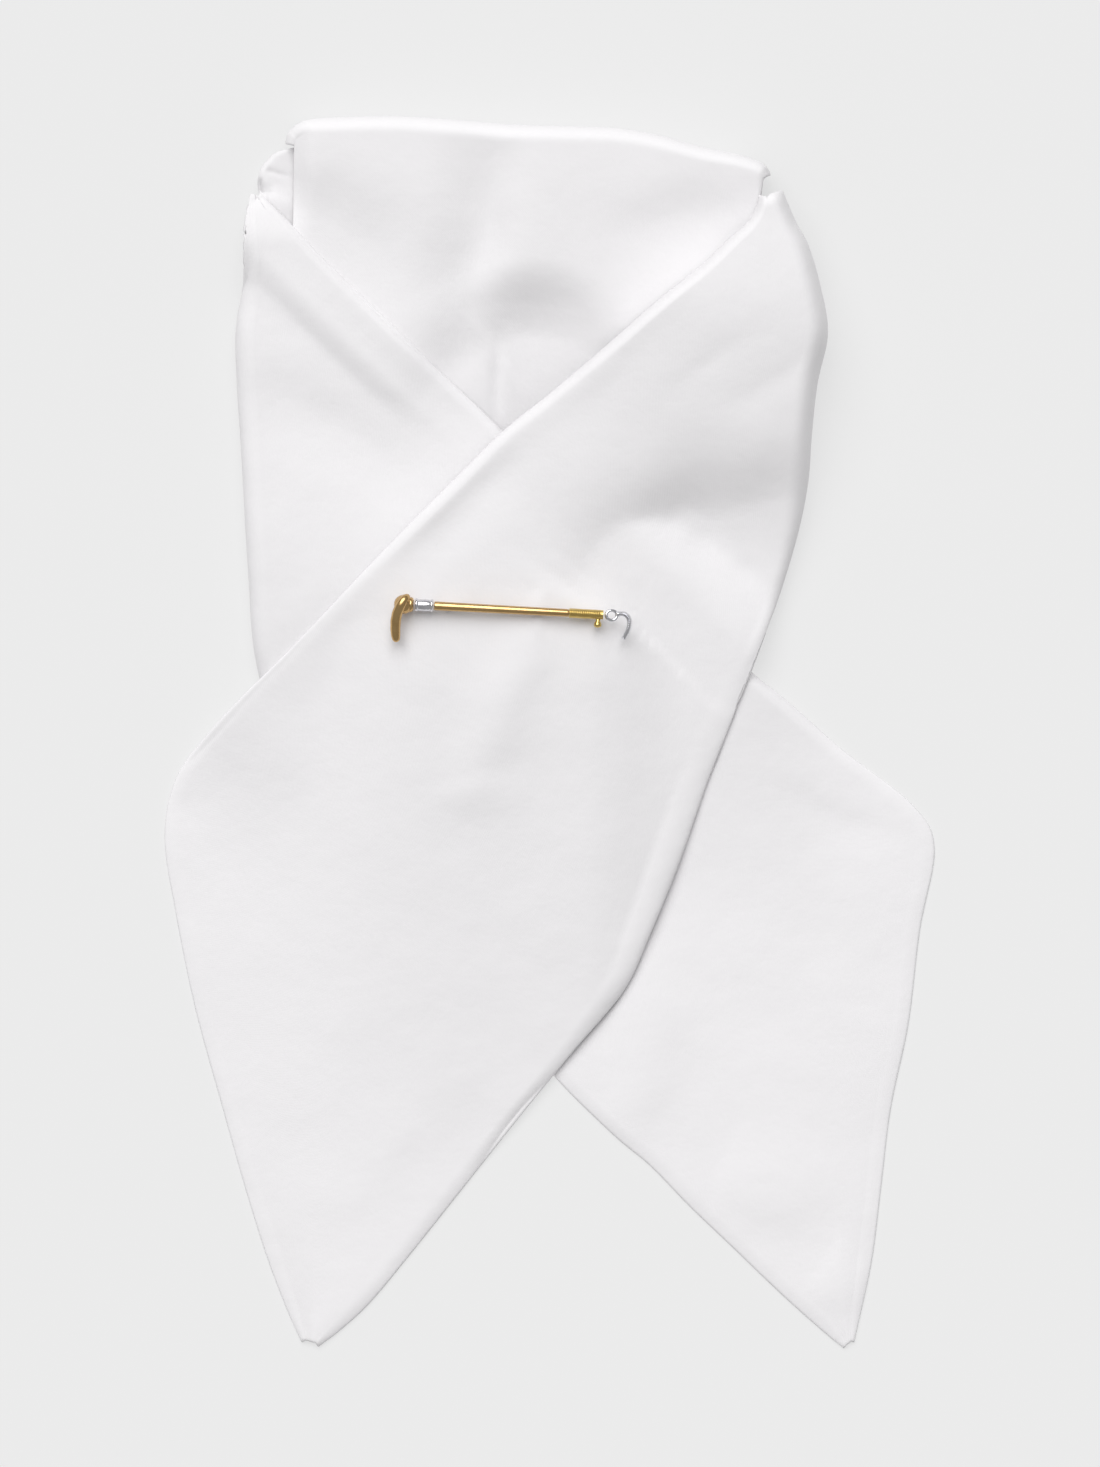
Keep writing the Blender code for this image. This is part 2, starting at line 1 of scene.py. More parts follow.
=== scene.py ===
# %% [markdown]
# A ready-tied stock tie, laid flat and seen from straight above.
# A stock tie is one long piece of white cotton. It goes round the neck, its two wide ends cross at
# the throat, and a long plain pin holds the crossing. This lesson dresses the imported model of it:
# thin cloth with its folds and hems, a two-tone metal pin, a pale floor and soft light.

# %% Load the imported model
import math

import bpy
import numpy as np
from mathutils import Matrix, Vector


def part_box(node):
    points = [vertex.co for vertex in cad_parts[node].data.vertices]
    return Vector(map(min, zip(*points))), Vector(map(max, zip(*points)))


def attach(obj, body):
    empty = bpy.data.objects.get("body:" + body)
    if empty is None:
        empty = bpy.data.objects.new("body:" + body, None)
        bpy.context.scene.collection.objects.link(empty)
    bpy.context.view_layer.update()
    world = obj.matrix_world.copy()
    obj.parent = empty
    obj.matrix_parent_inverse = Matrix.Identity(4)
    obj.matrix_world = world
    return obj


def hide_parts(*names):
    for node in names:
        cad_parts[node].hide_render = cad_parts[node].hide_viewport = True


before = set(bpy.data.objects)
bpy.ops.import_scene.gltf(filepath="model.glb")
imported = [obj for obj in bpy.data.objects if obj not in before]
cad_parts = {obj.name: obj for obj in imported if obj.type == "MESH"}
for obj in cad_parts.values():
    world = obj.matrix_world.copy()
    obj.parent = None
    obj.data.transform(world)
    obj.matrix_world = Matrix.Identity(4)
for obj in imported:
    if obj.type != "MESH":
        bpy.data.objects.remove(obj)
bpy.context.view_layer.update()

# %% [markdown]
# Sizes come first. The tables below are in millimetres, because a tailor's sizes read best that way,
# and one number turns them into Blender's metres. A sheet's wall is thinner here than in the model,
# where it also stands for the air between two layers.

# %% Sizes
MM = 0.001
CLOTH_THICKNESS = 0.85
GAP = 0.4
STEP = CLOTH_THICKNESS + GAP
FLOOR_LEVEL = 0.47
MODEL_FLOOR_LEVEL = 0.9
HEM_ROUND = 0.8
PIXEL = 0.275
PHOTO_SIZE = (1100, 1467)
print("the photograph covers", [round(side * PIXEL) for side in PHOTO_SIZE], "mm of the surface")

# %% [markdown]
# The camera looks straight down, as it did over the real tie. A long lens from far away keeps the
# raised neck and the flat tails at one scale. The long side of the picture is its height, which is
# the side that the sensor's width is read along.

# %% Camera
CAMERA_HEIGHT = 3.5
camera_data = bpy.data.cameras.new("overhead camera")
camera = bpy.data.objects.new("overhead camera", camera_data)
bpy.context.scene.collection.objects.link(camera)
camera.location = (0.0, 0.0, CAMERA_HEIGHT)
camera_data.sensor_width = 36.0
camera_data.lens = camera_data.sensor_width * CAMERA_HEIGHT / (PHOTO_SIZE[1] * PIXEL * MM)
camera_data.clip_end = 20.0
bpy.context.scene.camera = camera
print("lens in mm:", round(camera_data.lens))

# %% [markdown]
# Shader maths reads best as plain arithmetic. A Value wraps one socket, and an expression on Values
# adds the Math nodes. Every other node comes from a Board's add method: its settings go in first,
# then the numbers or links of its sockets. A Mix node numbers the sockets of every data type, and the
# four numbers named here are those of its colour ones.

# %% Shader helpers
MIX_SHARE, MIX_FIRST, MIX_SECOND, MIX_RESULT = 0, 6, 7, 2


class Value:
    """One socket's output, which can be used in arithmetic."""

    def __init__(self, board, socket):
        self.board = board
        self.socket = socket

    def math(self, operation, first, second):
        return self.board.add("ShaderNodeMath", {"operation": operation}, {0: first, 1: second})

    def __add__(self, other):
        return self.math("ADD", self, other)

    def __radd__(self, other):
        return self.math("ADD", other, self)

    def __mul__(self, other):
        return self.math("MULTIPLY", self, other)

    def __rmul__(self, other):
        return self.math("MULTIPLY", other, self)


class Board:
    """A material, its shader, and the one method that adds its nodes."""

    def __init__(self, name, **shader_values):
        self.material = bpy.data.materials.new(name)
        self.material.use_nodes = True
        self.tree = self.material.node_tree
        self.shader = self.tree.nodes["Principled BSDF"]
        for socket, value in shader_values.items():
            self.shader.inputs[socket.replace("_", " ")].default_value = value

    def add(self, kind, settings=None, sockets=None, output=0):
        node = self.tree.nodes.new(kind)
        for setting, value in (settings or {}).items():
            setattr(node, setting, value)
        for socket, value in (sockets or {}).items():
            if isinstance(value, Value):
                self.tree.links.new(value.socket, node.inputs[socket])
            else:
                node.inputs[socket].default_value = value
        return Value(self, node.outputs[output])

    def feed(self, socket, value):
        self.tree.links.new(value.socket, self.shader.inputs[socket])


print("shader helpers are ready")

# %% [markdown]
# The cloth is a close plain weave of white cotton, starched and pressed. Up close it shows fine
# threads that cross at right angles, so two sets of waves run along the sheet's own UV map, which is
# in metres. A picture of cloth would be quicker, but it would repeat. From a step away the real cloth
# shows only a little unevenness, so soft noise changes the colour and the bump slightly. Cotton has no
# gloss: a high roughness and a touch of sheen give its pale edge.

# %% Cotton material
THREAD = 0.00055
SLUB_WANDER = 5.0
WEAVE_RELIEF = 0.22
SLUB_RELIEF = 0.9
CLOUD_RELIEF = 20.0


def cotton(name, tint):
    board = Board(name, Roughness=0.82, Sheen_Weight=0.12, Sheen_Roughness=0.45, IOR=1.45)
    uv = board.add("ShaderNodeUVMap", {"uv_map": "cloth"})
    place = board.add("ShaderNodeTexCoord", output="Object")
    slub = board.add("ShaderNodeTexNoise", {}, {"Vector": place, "Scale": 900.0, "Detail": 3.0})
    threads = []
    for direction in ("X", "Y"):
        part = board.add("ShaderNodeSeparateXYZ", {}, {0: uv}, direction)
        phase = part * (2 * math.pi / THREAD) + slub * SLUB_WANDER
        threads.append(board.add("ShaderNodeMath", {"operation": "SINE"}, {0: phase}))
    weave = threads[0] * threads[1]
    cloud = board.add("ShaderNodeTexNoise", {}, {"Vector": place, "Scale": 42.0, "Detail": 4.0})
    height = weave * WEAVE_RELIEF + slub * SLUB_RELIEF + cloud * CLOUD_RELIEF
    bump = board.add(
        "ShaderNodeBump", {}, {"Strength": 0.35, "Distance": 0.00012, "Height": height})
    board.feed("Normal", bump)
    pale = board.add(
        "ShaderNodeMix", {"data_type": "RGBA"},
        {MIX_SHARE: cloud, MIX_FIRST: (tint * 0.99, tint * 0.975, tint * 0.99, 1.0),
         MIX_SECOND: (tint, tint * 0.985, tint, 1.0)}, MIX_RESULT)
    board.feed("Base Color", pale)
    board.feed("Roughness", 0.76 + slub * 0.12)
    return board.material


white_cotton = cotton("white cotton", tint=0.855)
print("made", white_cotton.name)

# %% [markdown]
# The pin is brass with a worn gilt finish, and its collar, ring and lash are silver-coloured. Both
# are metals, so the colour sits in the reflection. Handling leaves faint scratches and dull patches,
# which noise in the roughness and in the bump gives. One noise also blends a light and a deep tone,
# because gilt is deeper where it is rubbed less. One function makes all three from their colours.

# %% Metal materials
WEAR_SPREAD = 0.16


def metal(name, light, deep, roughness):
    board = Board(name, Metallic=1.0, Roughness=roughness)
    place = board.add("ShaderNodeTexCoord", output="Object")
    wear = board.add("ShaderNodeTexNoise", {}, {"Vector": place, "Scale": 420.0, "Detail": 4.0})
    grain = board.add("ShaderNodeTexNoise", {}, {"Vector": place, "Scale": 2600.0, "Detail": 2.0})
    color = board.add(
        "ShaderNodeMix", {"data_type": "RGBA"},
        {MIX_SHARE: wear, MIX_FIRST: light, MIX_SECOND: deep}, MIX_RESULT)
    board.feed("Base Color", color)
    board.feed("Roughness", roughness - WEAR_SPREAD / 2 + wear * WEAR_SPREAD)
    bump = board.add("ShaderNodeBump", {}, {"Strength": 0.25, "Distance": 0.00004, "Height": grain})
    board.feed("Normal", bump)
    return board.material


gilt = metal("worn gilt", (0.72, 0.49, 0.23, 1.0), (0.48, 0.30, 0.12, 1.0), 0.22)
pale_gilt = metal("bright gilt", (0.82, 0.62, 0.24, 1.0), (0.56, 0.39, 0.11, 1.0), 0.24)
silver = metal(
    "silver-coloured metal wear", (0.90, 0.90, 0.92, 1.0), (0.55, 0.55, 0.58, 1.0), 0.17)
print("made", gilt.name, pale_gilt.name, silver.name)

# %% [markdown]
# Cloth that lies in soft heights could be sculpted, but a few formulas are easier to correct. These
# helpers give a smooth step, an even slope with rounded ends, a bell, the rounded larger of two
# heights, the distance beside a line, and a smooth reading between the rows of a table.

# %% Form helpers
def ease(low, high, value):
    share = np.clip((value - low) / (high - low), 0.0, 1.0)
    return share * share * (3.0 - 2.0 * share)


def ramp(low, high, value, rounding=10.0):
    """An even slope from 0 at low to 1 at high, rounded off at both ends."""
    from_low = np.sqrt((value - low) ** 2 + rounding ** 2)
    from_high = np.sqrt((value - high) ** 2 + rounding ** 2)
    return 0.5 + 0.5 * (from_low - from_high) / (high - low)


def bell(value, middle, half_width):
    return np.exp(-((value - middle) / half_width) ** 2)


def soft_max(first, second, softness):
    return 0.5 * (first + second + np.sqrt((first - second) ** 2 + softness ** 2))


def beside(x, y, start, end):
    """How far points lie to the left of the line from start to end."""
    run = np.array(end) - np.array(start)
    run = run / np.hypot(*run)
    return (y - start[1]) * run[0] - (x - start[0]) * run[1]


def smooth_rows(table, samples):
    rows = np.array(table, dtype=float)
    last = len(rows) - 1
    place = np.clip(np.asarray(samples, dtype=float), 0.0, last)
    index = np.minimum(place.astype(int), last - 1)
    t = (place - index)[:, None]
    before = rows[np.maximum(index - 1, 0)]
    start = rows[index]
    end = rows[index + 1]
    after = rows[np.minimum(index + 2, last)]
    bend = (2 * before - 5 * start + 4 * end - after) * t ** 2
    twist = (3 * start - before - 3 * end + after) * t ** 3
    return start + 0.5 * ((end - before) * t + bend + twist)


print("a smooth step at its quarters:", ease(0.0, 1.0, np.linspace(0.0, 1.0, 5)).round(2))

# %% [markdown]
# Soft folds are easier to place as a list than to sculpt. A fold is a ridge or a trough along a bowed
# line, with a half width on each side and a rise. It fades on both sides and towards both ends.

# %% Fold helper
FOLD_STEPS = 12
FOLD_REACH = 2.5


def unsteady(x, y):
    """Shifts plan points a little, so that no fold is ruler-straight."""
    shifted_x = x + 0.9 * np.sin(y / 9.1 + 1.3) + 0.5 * np.sin(y / 4.3 + x / 11.0)
    shifted_y = y + 0.8 * np.sin(x / 8.3 + 0.4) + 0.4 * np.sin(x / 3.9 - y / 13.0)
    return shifted_x, shifted_y


def fold_height(x, y, folds):
    x, y = unsteady(x, y)
    total = np.zeros_like(x)
    share = np.linspace(0.0, 1.0, FOLD_STEPS + 1)
    for x1, y1, x2, y2, x3, y3, left, right, rise in folds:
        margin = FOLD_REACH * max(left, right)
        near = (x > min(x1, x2, x3) - margin) & (x < max(x1, x2, x3) + margin)
        near &= (y > min(y1, y2, y3) - margin) & (y < max(y1, y2, y3) + margin)
        spot_x = x[near]
        spot_y = y[near]
        bow_x = 2 * x2 - (x1 + x3) / 2
        bow_y = 2 * y2 - (y1 + y3) / 2
        line_x = (1 - share) ** 2 * x1 + 2 * share * (1 - share) * bow_x + share ** 2 * x3
        line_y = (1 - share) ** 2 * y1 + 2 * share * (1 - share) * bow_y + share ** 2 * y3
        distance = np.full_like(spot_x, np.inf)
        along = np.zeros_like(spot_x)
        side = np.zeros_like(spot_x)
        for step in range(FOLD_STEPS):
            run_x = line_x[step + 1] - line_x[step]
            run_y = line_y[step + 1] - line_y[step]
            from_x = spot_x - line_x[step]
            from_y = spot_y - line_y[step]
            t = np.clip((from_x * run_x + from_y * run_y) / (run_x ** 2 + run_y ** 2), 0.0, 1.0)
            gap = np.hypot(from_x - t * run_x, from_y - t * run_y)
            closer = gap < distance
            distance = np.where(closer, gap, distance)
            along = np.where(closer, (step + t) / FOLD_STEPS, along)
            side = np.where(closer, run_x * from_y - run_y * from_x, side)
        width = np.where(side > 0.0, left, right)
        total[near] += rise * np.sin(np.pi * along) * np.exp(-(distance / width) ** 2)
    return total


print("a fold is measured along", FOLD_STEPS, "short straight runs")

# %% [markdown]
# Each strip of cloth is a table of sections. A row gives the two edges of the strip in plan, and how
# each edge rolls: the length of cloth in the roll, the angle it turns through in degrees, and the
# height of its free end. An edge that turns 5 degrees is a flat hem, and one that turns 150 wraps
# round the side of the neck. The columns are
# a_x, a_y, b_x, b_y, a_length, a_turn, a_end, b_length, b_turn, b_end

# %% Section tables
TAIL_OVER = (
    (57.0, 147.5, 63.8, 149.0, 2.5, 40, 13.0, 7.0, 110, 7.0),
    (54.5, 140.6, 67.2, 140.8, 4.0, 90, 18.0, 10.0, 130, 3.0),
    (48.5, 135.0, 71.0, 133.4, 4.5, 90, 17.4, 12.5, 150, 1.3),
    (41.2, 128.0, 74.3, 122.0, 4.5, 90, 16.6, 13.0, 150, 1.2),
    (28.9, 118.1, 76.2, 109.6, 4.5, 90, 16.2, 13.0, 150, 1.2),
    (13.8, 104.9, 73.4, 96.0, 4.5, 90, 15.6, 13.0, 150, 1.2),
    (-0.6, 92.8, 71.9, 82.5, 4.5, 90, 15.4, 13.0, 150, 1.2),
    (-12.9, 82.9, 70.9, 69.0, 4.5, 90, 15.2, 13.0, 150, 1.2),
    (-26.1, 69.9, 68.3, 55.5, 4.5, 90, 14.8, 9.5, 150, 1.2),
    (-39.1, 57.0, 63.6, 39.5, 4.5, 90, 14.4, 7.0, 150, 2.4),
    (-56.9, 38.8, 57.8, 23.5, 4.5, 90, 12.8, 8.0, 140, 7.4),
    (-72.3, 22.6, 50.8, 5.5, 4.5, 90, 10.2, 14.0, 125, 7.2),
    (-84.0, 11.2, 43.0, -14.5, 5.0, 90, 8.0, 15.0, 115, 4.6),
    (-94.9, -0.8, 35.2, -36.5, 4.0, 40, 3.6, 15.0, 110, 3.4),
    (-103.1, -12.8, 27.2, -56.0, 4.0, 10, 1.6, 13.0, 110, 3.4),
    (-106.0, -28.5, 19.8, -71.9, 4.0, 5, 0.9, 8.0, 80, 3.4),
    (-103.0, -49.0, 5.5, -88.5, 4.0, 5, 0.9, 4.0, 10, 3.4),
    (-97.6, -75.5, -9.0, -106.3, 4.0, 5, 0.9, 4.0, 5, 1.0),
    (-90.6, -101.0, -24.0, -125.2, 4.0, 5, 0.9, 4.0, 5, 0.9),
    (-84.0, -124.4, -38.5, -143.4, 4.0, 5, 0.9, 4.0, 5, 0.9),
    (-78.0, -143.6, -49.5, -156.6, 4.0, 5, 0.9, 4.0, 5, 0.9),
    (-72.3, -158.5, -58.0, -164.4, 3.0, 5, 0.9, 3.0, 5, 0.9),
    (-68.2, -167.4, -63.8, -168.6, 1.2, 5, 0.9, 1.2, 5, 0.9),
)

TAIL_UNDER = (
    (-79.2, 148.4, -82.5, 148.2, 1.2, 40, 9.6, 1.8, 100, 6.0),
    (-73.6, 143.0, -84.0, 138.0, 4.0, 90, 10.4, 8.0, 140, 1.6),
    (-63.0, 131.6, -84.3, 124.0, 4.5, 90, 11.5, 12.0, 150, 1.2),
    (-52.3, 121.2, -86.3, 110.5, 4.5, 90, 11.3, 13.0, 150, 1.2),
    (-41.2, 110.6, -86.0, 96.0, 4.5, 90, 11.0, 13.0, 150, 1.2),
    (-27.5, 97.2, -84.9, 79.0, 4.5, 90, 10.8, 13.0, 150, 1.2),
    (-12.9, 83.2, -83.9, 61.0, 4.5, 90, 10.6, 13.0, 150, 1.2),
    (0.0, 70.5, -82.8, 43.0, 4.5, 90, 10.2, 13.0, 150, 1.2),
    (13.8, 57.1, -81.1, 21.5, 4.5, 90, 9.6, 12.0, 140, 1.2),
    (27.5, 43.9, -76.0, 6.0, 4.5, 90, 8.8, 7.0, 60, 1.2),
    (41.2, 30.1, -61.0, -13.5, 4.5, 90, 7.2, 4.0, 5, 0.9),
    (54.7, 17.6, -43.0, -37.5, 4.5, 90, 4.8, 4.0, 5, 0.9),
    (65.5, 9.0, -24.0, -62.5, 4.0, 40, 2.4, 4.0, 5, 0.9),
    (80.6, -4.5, -1.5, -91.3, 4.0, 10, 1.0, 4.0, 5, 0.9),
    (99.5, -19.4, 16.5, -109.6, 4.0, 5, 0.9, 4.0, 5, 0.9),
    (105.8, -31.5, 27.5, -118.9, 4.0, 5, 0.9, 4.0, 5, 0.9),
    (101.8, -54.0, 38.5, -130.2, 4.0, 5, 0.9, 4.0, 5, 0.9),
    (98.6, -80.0, 49.5, -140.7, 4.0, 5, 0.9, 4.0, 5, 0.9),
    (93.8, -103.0, 58.5, -149.4, 4.0, 5, 0.9, 4.0, 5, 0.9),
    (91.2, -124.0, 66.5, -156.9, 4.0, 5, 0.9, 4.0, 5, 0.9),
    (88.8, -143.5, 73.5, -163.1, 4.0, 5, 0.9, 4.0, 5, 0.9),
    (85.6, -159.0, 78.6, -167.4, 2.5, 5, 0.9, 2.5, 5, 0.9),
    (83.6, -167.4, 80.9, -169.0, 0.8, 5, 0.9, 0.8, 5, 0.9),
)

NECKBAND_FRONT = (
    (-72.8, 161.8, -72.8, 134.0, 3.0, 60, 7.9, 3.0, 5, 8.8),
    (-71.6, 165.2, -70.6, 131.6, 5.0, 100, 6.4, 3.0, 5, 8.8),
    (-67.0, 168.3, -65.0, 125.0, 8.0, 135, 1.6, 3.0, 5, 8.8),
    (-57.8, 169.1, -52.0, 110.4, 9.5, 140, 1.3, 3.0, 5, 8.8),
    (-41.2, 169.4, -38.0, 95.8, 9.5, 140, 1.3, 3.0, 5, 8.8),
    (-24.8, 168.3, -24.0, 82.2, 9.5, 140, 1.3, 3.0, 5, 8.8),
    (-12.0, 167.2, -12.9, 71.4, 9.5, 140, 1.3, 3.0, 5, 8.8),
    (-2.8, 166.8, -3.0, 79.2, 9.5, 140, 1.3, 3.0, 5, 8.8),
    (8.3, 166.5, 7.0, 87.6, 9.5, 140, 1.3, 3.0, 5, 8.8),
    (19.2, 166.0, 18.0, 96.6, 9.5, 140, 1.3, 3.0, 5, 9.0),
    (30.3, 164.0, 31.0, 108.0, 9.0, 140, 1.3, 3.0, 5, 9.4),
    (41.2, 161.0, 43.0, 118.0, 8.5, 140, 1.3, 3.0, 5, 10.0),
    (52.0, 158.7, 52.0, 125.4, 7.5, 135, 1.6, 3.0, 5, 11.0),
    (58.6, 156.2, 57.6, 132.0, 5.5, 110, 6.0, 3.0, 5, 10.0),
    (60.8, 153.4, 59.6, 137.0, 3.0, 60, 6.0, 3.0, 5, 8.6),
)
print("sections:", len(TAIL_OVER), len(TAIL_UNDER), len(NECKBAND_FRONT))

# %% [markdown]
# Now the folds. Light comes from the neck's side, so a slope that falls away from the neck reads
# dark and one that faces it reads bright. Each dark or bright patch of the real cloth is one row: a
# bowed line through three points, the width on its left and on its right, and the rise. A trough has
# a negative rise, and a steep side is a narrow one. The columns are
# x1, y1, x2, y2, x3, y3, left, right, rise

# %% Fold tables
BAND_FOLDS = (
    (-16.0, 170.0, -19.5, 134.0, -28.5, 92.0, 7.0, 10.5, -4.0),
    (-22.0, 112.0, -8.0, 117.0, 14.0, 115.5, 7.0, 14.0, -1.2),
    (-96.0, 142.0, -62.0, 139.0, -34.0, 116.0, 11.0, 20.0, -2.6),
    (12.0, 136.0, 41.0, 140.5, 68.0, 146.0, 9.0, 16.0, -2.3),
    (-14.0, 112.0, -14.8, 98.0, -15.5, 84.0, 1.8, 1.8, -0.7),
    (6.0, 99.0, 32.0, 120.0, 58.0, 139.0, 7.0, 7.0, 0.5),
)

UNDER_FOLDS = (
    (-90.0, 94.0, -62.0, 85.0, -34.0, 66.0, 8.0, 16.0, -1.7),
    (-90.0, 137.0, -57.0, 110.0, -24.0, 76.0, 7.0, 2.2, 0.5),
    (-8.0, 86.0, -40.0, 52.0, -84.0, 10.0, 12.0, 12.0, 1.6),
    (58.0, -9.0, 81.0, -25.0, 101.0, -27.0, 3.5, 6.0, -0.7),
    (22.0, -55.0, 27.0, -88.0, 18.0, -112.0, 11.0, 11.0, 1.7),
    (45.0, -124.0, 62.0, -127.0, 80.0, -123.0, 18.0, 8.0, 1.3),
    (70.0, -150.0, 79.0, -153.0, 88.0, -150.0, 14.0, 6.0, 0.6),
)

OVER_FOLDS = (
    (98.0, 72.0, 35.0, 53.5, 8.0, 35.0, 34.0, 14.0, -6.0),
    (32.0, 57.0, 17.0, 49.5, 4.0, 36.0, 7.0, 6.0, -1.5),
    (41.0, 60.0, 36.0, 48.0, 33.0, 32.0, 3.5, 4.5, 1.3),
    (33.0, 26.0, 45.5, 36.0, 57.0, 48.0, 4.0, 6.0, -1.4),
    (-6.0, 72.0, -25.0, 60.0, -46.0, 38.0, 8.0, 5.5, -1.4),
    (-5.0, 40.0, -11.0, 9.0, -27.0, -22.0, 7.0, 8.0, 1.4),
    (-38.0, -22.0, -22.0, -16.5, -4.0, -16.0, 3.5, 6.0, 0.5),
    (-107.0, -16.0, -91.0, -13.0, -66.0, 11.0, 2.8, 4.5, -0.4),
    (-70.0, -137.0, -43.0, -114.0, -18.0, -84.0, 10.0, 9.0, 0.8),
    (42.0, 84.0, 60.0, 97.0, 78.0, 108.0, 3.0, 4.0, -0.35),
    (28.0, 90.0, 46.0, 103.0, 62.0, 116.0, 3.0, 3.0, -0.25),
)

PIN_PUCKER = (
    (-3.2, 40.0, -3.6, 33.0, -4.2, 25.0, 1.6, 1.6, 0.6),
    (-34.0, 33.5, -28.0, 34.6, -22.0, 34.0, 2.4, 2.4, 0.4),
)

UNDER_EDGE = ((-84.0, 148.0, -45.0, 112.0, -8.0, 78.0, 3.0, 5.0, 0.9),)
OVER_EDGE = (
    (42.0, 126.0, 12.0, 101.0, -18.0, 76.0, 4.5, 3.0, 0.7),
    (0.0, 91.0, -28.0, 66.5, -68.0, 25.0, 5.0, 3.0, 0.8),
)
print("folds:", sum(len(table) for table in (BAND_FOLDS, UNDER_FOLDS, OVER_FOLDS, PIN_PUCKER)))

# %% [markdown]
# Every sheet gets a height for each point of the plan. The neckband lies on the hidden layers, the
# lower strip lies on the neckband, and the upper strip lies on both, so each rests a step above the
# one below and falls to the floor at its tail. No two sheets can then cut through each other. The
# lines below are the edges in plan at which one sheet stops carrying the next.

# %% Edge lines
BAND_LOW_LEFT = ((-12.9, 70.0), (-73.0, 129.0))
BAND_LOW_RIGHT = ((-12.9, 70.0), (60.0, 130.0))
UNDER_INNER_EDGE = ((-12.9, 83.5), (54.7, 17.9))
UNDER_OUTER_EDGE = ((0.8, -93.9), (-78.0, 12.0))
OVER_NECK_END = ((57.0, 147.8), (63.8, 149.3))
print("the lower strip's inner edge carries over", round(math.dist(*UNDER_INNER_EDGE)), "mm")

# %% [markdown]
# Pressed cloth would look like card if it lay quite even, so each sheet gets slow waves of one or two
# tenths of a millimetre. Where a sheet ends in plain sight, it is turned down like a rounded step.

# %% Waves and turned ends
def slack_waves(x, y, turn):
    """Low, broad unevenness, different for each sheet."""
    first = np.sin(x / 6.1 + y / 9.7 + turn) * np.sin(y / 7.3 - x / 17.0 + 2.0 * turn)
    second = np.sin(x / 13.0 - y / 10.3 + 3.0 * turn)
    return 0.07 * first + 0.10 * second


def rounded_end(distance, radius):
    """How far a sheet has turned down, from 0 at the radius to 1 at its end."""
    reach = np.clip(1.0 - distance / radius, 0.0, 1.0)
    return 1.0 - np.sqrt(1.0 - reach ** 2)


print("turned down halfway along:", round(float(rounded_end(2.0, 4.0)), 2))

# %% [markdown]
# The neckband rises towards its top fold and towards the right. Above the crossing it is drawn in, so
# an arched dimple sinks into it, and below the dimple it dips under the strips. Its left end lies
# lower, and its right end is turned down.

# %% Neckband height
BAND_LEVEL = 13.2
BAND_TOP_RISE = 2.0
BAND_RIGHT_RISE = 2.0
DIMPLE_SHOULDER = 1.8
DIMPLE_DEPTH = 5.8
BAND_DIP = 3.4
BAND_LEFT_FALL = 5.4
BAND_END_FALL = 8.0
BAND_END = 60.6


def band_height(x, y):
    height = BAND_LEVEL + BAND_TOP_RISE * ramp(112.0, 152.0, y)
    height = height + BAND_RIGHT_RISE * ease(15.0, 55.0, x)
    arch = y - 3.0 + 0.02 * (x + 4.0) ** 2
    dimple = DIMPLE_SHOULDER - DIMPLE_DEPTH * (1.0 - ease(105.0, 127.5, arch))
    height = height + dimple * bell(x, -6.0, 25.0)
    height = height - BAND_DIP * (1.0 - ramp(86.0, 112.0, y)) * bell(x, -8.0, 45.0)
    height = height - BAND_LEFT_FALL * (1.0 - ease(-73.0, -64.0, x)) * ease(134.0, 152.0, y)
    height = height - BAND_END_FALL * rounded_end(BAND_END - x, 4.0)
    return height + fold_height(x, y, BAND_FOLDS) + slack_waves(x, y, turn=0.7)


print("dimple's foot and rim in mm:", band_height(np.full(2, -6.0), np.array([105.0, 130.0])).round(1))

# %% [markdown]
# The lower strip climbs from the right tail to the neck. Where the neckband is under it, the higher of
# its own height and the band's holds, with the change rounded off as real cloth would be. Its narrow
# tip at the top left is turned down.

# %% Lower strip height
UNDER_RISE = 10.8
UNDER_SOFTNESS = 1.6
UNDER_TIP_FALL = 6.0
UNDER_TIP = 148.3


def under_support(x, y):
    """What the neckband carries, which fades out past the band's lower edges."""
    left = ease(-24.0, -2.0, -beside(x, y, *BAND_LOW_LEFT))
    right = ease(-24.0, -2.0, beside(x, y, *BAND_LOW_RIGHT))
    return left * right * (band_height(x, y) + STEP)


def under_height(x, y):
    own = FLOOR_LEVEL + UNDER_RISE * ramp(-42.0, 46.0, y) * (1.0 - ease(50.0, 90.0, x))
    own = own + fold_height(x, y, UNDER_FOLDS) + slack_waves(x, y, turn=1.9)
    height = soft_max(own, under_support(x, y), UNDER_SOFTNESS)
    height = height + fold_height(x, y, UNDER_EDGE)
    at_tip = 1.0 - ease(-79.0, -73.0, x)
    return height - UNDER_TIP_FALL * rounded_end(UNDER_TIP - y, 6.0) * at_tip


print("lower strip below the crossing, in mm:", under_height(np.zeros(1), np.full(1, 40.0)).round(1))

# %% [markdown]
# The upper strip climbs from the left tail over the crossing to the right of the neck. It swells over
# the crossing, falls away low on the right, and is turned down where it ends at the neck. The pin's
# stem has to stay under it, so its height along the stem is printed.

# %% Upper strip height
OVER_RISE = 15.2
CROSSING_SWELL = 1.2
OVER_NECK_RISE = 9.8
OVER_RIGHT_FALL = 7.4
OVER_TOP_FALL = 1.6
OVER_END_FALL = 9.0
OVER_SOFTNESS = 2.0
STEM_ENDS = ((-28.0, 34.7), (10.0, 32.65))


def over_support(x, y):
    """What the lower strip and the neckband carry between them."""
    past_hem = ease(-46.0, -3.5, -beside(x, y, *UNDER_OUTER_EDGE))
    inside_edge = ease(-34.0, -1.5, -beside(x, y, *UNDER_INNER_EDGE))
    on_under = past_hem * inside_edge * (under_height(x, y) + STEP)
    return np.maximum(on_under, under_support(x, y) + 0.3 * STEP)


